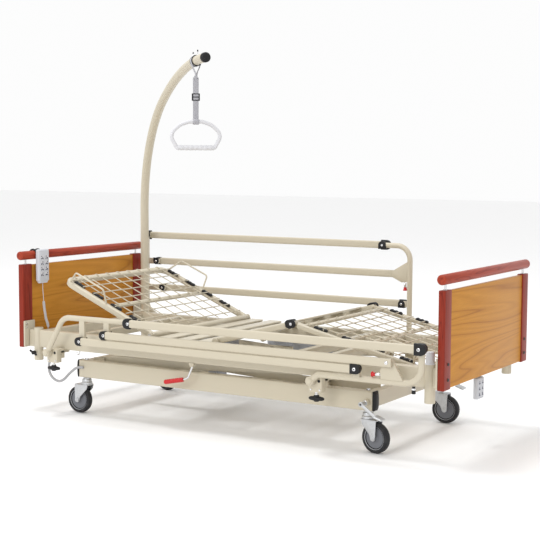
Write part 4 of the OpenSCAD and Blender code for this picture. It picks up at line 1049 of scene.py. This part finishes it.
def handset():
    case = [box((-1018, -378, 595), (-994, -305, 745), 8.5, 5), box((-1015, -370, 587), (-997, -313, 600), 5, 4),
            box((-995.2, -371, 612), (-993.4, -312, 733), 0.8, 2)]
    piece("handset_case", case, "handset", CASE, ["handset"])
    pads, ink = [], []
    for k in range(4):
        z = 630 + 26 * k
        for y in (-357, -326):
            pads.append(box((-993.6, y - 10.5, z - 9.5), (-992.9, y + 10.5, z + 9.5), 0.3, 1))
            x0, x1 = -993.2, -992.1
            tip = (k % 2) * 2 - 1
            ink.append(box((x0, y - 8.5, z - 6.5), (x1, y + 8.5, z - 3.6), 0.3, 1))
            for e in (-6.4, 6.4):
                ink.append(lathe([(0, 0), (2, 0), (2, 1), (0, 1)], (x0, y + e, z - 7.4), (1, 0, 0), 12))
            rise = Matrix.Translation((0,
                                       y + tip * 1.0, z - 1.2)) @ Matrix.Rotation(math.radians(-tip * (16 + 8 * k)),
                                               4, "X")
            ink.append(turned(box((x0, -1 if tip > 0 else -8, -1.5), (x1, 8 if tip > 0 else 1, 1.5), 0.3, 1), rise))
            ink.append(box((x0, y - tip * 4 - 1.3, z + 0.6), (x1, y - tip * 4 + 1.3, z + 7.4), 0.3, 1))
            ink.append(box((x0, y - tip * 4 - 3.4, z + 3.4), (x1, y - tip * 4 + 3.4, z + 5.6), 0.3, 1))
    piece("handset_pads", pads, "handset", WHITE, ["handset_keys"])
    piece("handset_icons", ink, "handset", INK)
    hooks = []
    for y in (-362, -330):
        hooks.append(sweep([(-1068.5, y, 700), (-1068.5, y, 712)] + arc(-1044, ROD_Z, 24.5,
                180, 0, y, 18) + [(-1014, y, 708)],
                           circle(4.1, 14), up=(0, 1, 0)))
    hooks.append(box((-1072, -366, 696.4), (-1065, -326, 704), 2.5, 3))
    piece("handset_hook", hooks, "handset", BLACK)


def coil_cord():
    route = curve_points([(-1006, -341, 586.9), (-1006, -341, 560), (-1004, -340, 530), (-1003, -339, 500),
                          (-1001, -338, 470),
                          (-998, -336, 445), (-995, -334, 420), (-989, -331, 400), (-986, -330, 385),
                          (-986, -330, 370.1)], 10)
    lengths = [0.0]
    for a, b in zip(route, route[1:]):
        lengths.append(lengths[-1] + (b - a).length)

    def at(t):
        t = min(max(t, 0.0), lengths[-1])
        k = max(i for i, v in enumerate(lengths[:-1]) if v <= t)
        f = (t - lengths[k]) / max(1e-6, lengths[k + 1] - lengths[k])
        return route[k].lerp(route[k + 1], f), (route[k + 1] - route[k]).normalized()

    total, lead, tail, pitch, r = lengths[-1], 84.0, 6.0, 3.7, 5.0
    pts = [at(t)[0] for t in (0, 12, 26, 40, 54, 68, 78)]
    turns = int((total - lead - tail) / pitch)
    n = 14
    for k in range(turns * n + 1):
        t = lead + pitch * k / n
        c, d = at(t)
        x = (Vector((1, 0, 0)) - d * d.x).normalized()
        y = d.cross(x)
        grow = min(1.0, k / n, (turns * n - k) / n)
        ang = 2 * math.pi * k / n
        pts.append(c + (x * math.cos(ang) + y * math.sin(ang)) * r * grow)
    pts += [at(total - 3)[0], at(total)[0]]
    length = sum((b - a).length for a, b in zip(pts, pts[1:]))
    obj = piece("handset_curly_cord", sweep(pts, circle(1.55, 7)), None, CORD, ["handset_cord"], smooth=80)
    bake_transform(obj)


def lockout():
    piece("lockout_case", [box((1014, -34, 195), (1035.4, 34, 283), 6, 4),
                           box((1034.8, -27, 203), (1036.2, 27, 275), 0.6, 2)],
          "upper_frame", CASE, ["lockout_box"])
    piece("lockout_hanger", box((1010, -14, 230), (1014, 14, 299.9), 1), "upper_frame", PAINT)
    ink = []
    for k in range(3):
        z = 215 + 24 * k
        for y in (-16, 16):
            ink.append(box((1036, y - 7.5, z - 6), (1036.9, y + 7.5, z - 3), 0.3, 1))
            ink.append(box((1036, y - 1.5, z - 3), (1036.9, y + 1.5, z + 7), 0.3, 1))
            ink.append(turned(box((0, -8, -1.5), (0.9, 0, 1.5), 0.3, 1),
                              Matrix.Translation((1036, y, z - 1)) @ Matrix.Rotation(math.radians(-35 + 30 * k), 4,
                                      "X")))
    piece("lockout_icons", ink, "upper_frame", INK)


backrest()
thigh_and_leg()
guard("near", -1, False)
guard("far", 1, True)
pole()
strap_and_handle()
handset()
coil_cord()
lockout()


# ---- floor and light ----

# name, place in metres, disc size in metres, power in watts
LIGHTS = (("key", (-0.5, -8.0, 4.6), 2.2, 150), ("top", (-1.6, -0.6, 7.5), 2.2, 190))

def studio():
    me = bpy.data.meshes.new("floor")
    me.from_pydata([(-30, -30, 0), (30, -30, 0), (30, 30, 0), (-30, 30, 0)], [], [(0, 1, 2, 3)])
    floor = bpy.data.objects.new("floor", me)
    bpy.context.collection.objects.link(floor)
    mat = bpy.data.materials.new("studio_floor")
    mat.use_nodes = True
    mat.node_tree.nodes["Principled BSDF"].inputs["Base Color"].default_value = (0.93, 0.93, 0.93, 1)
    mat.node_tree.nodes["Principled BSDF"].inputs["Roughness"].default_value = 0.75
    me.materials.append(mat)
    world = bpy.data.worlds.new("studio_world")
    bpy.context.scene.world = world
    world.use_nodes = True
    bg = world.node_tree.nodes["Background"]
    bg.inputs["Color"].default_value = (1, 1, 1, 1)
    bg.inputs["Strength"].default_value = 0.98
    bpy.context.scene.view_settings.view_transform = "Standard"
    for name, loc, size, power in LIGHTS:
        light = bpy.data.lights.new(name, "AREA")
        light.shape, light.size, light.energy = "DISK", size, power
        o = bpy.data.objects.new(name, light)
        bpy.context.collection.objects.link(o)
        o.location = loc
        o.rotation_euler = (Vector((0, 0, 0.5)) - Vector(loc)).to_track_quat("-Z", "Y").to_euler()


studio()
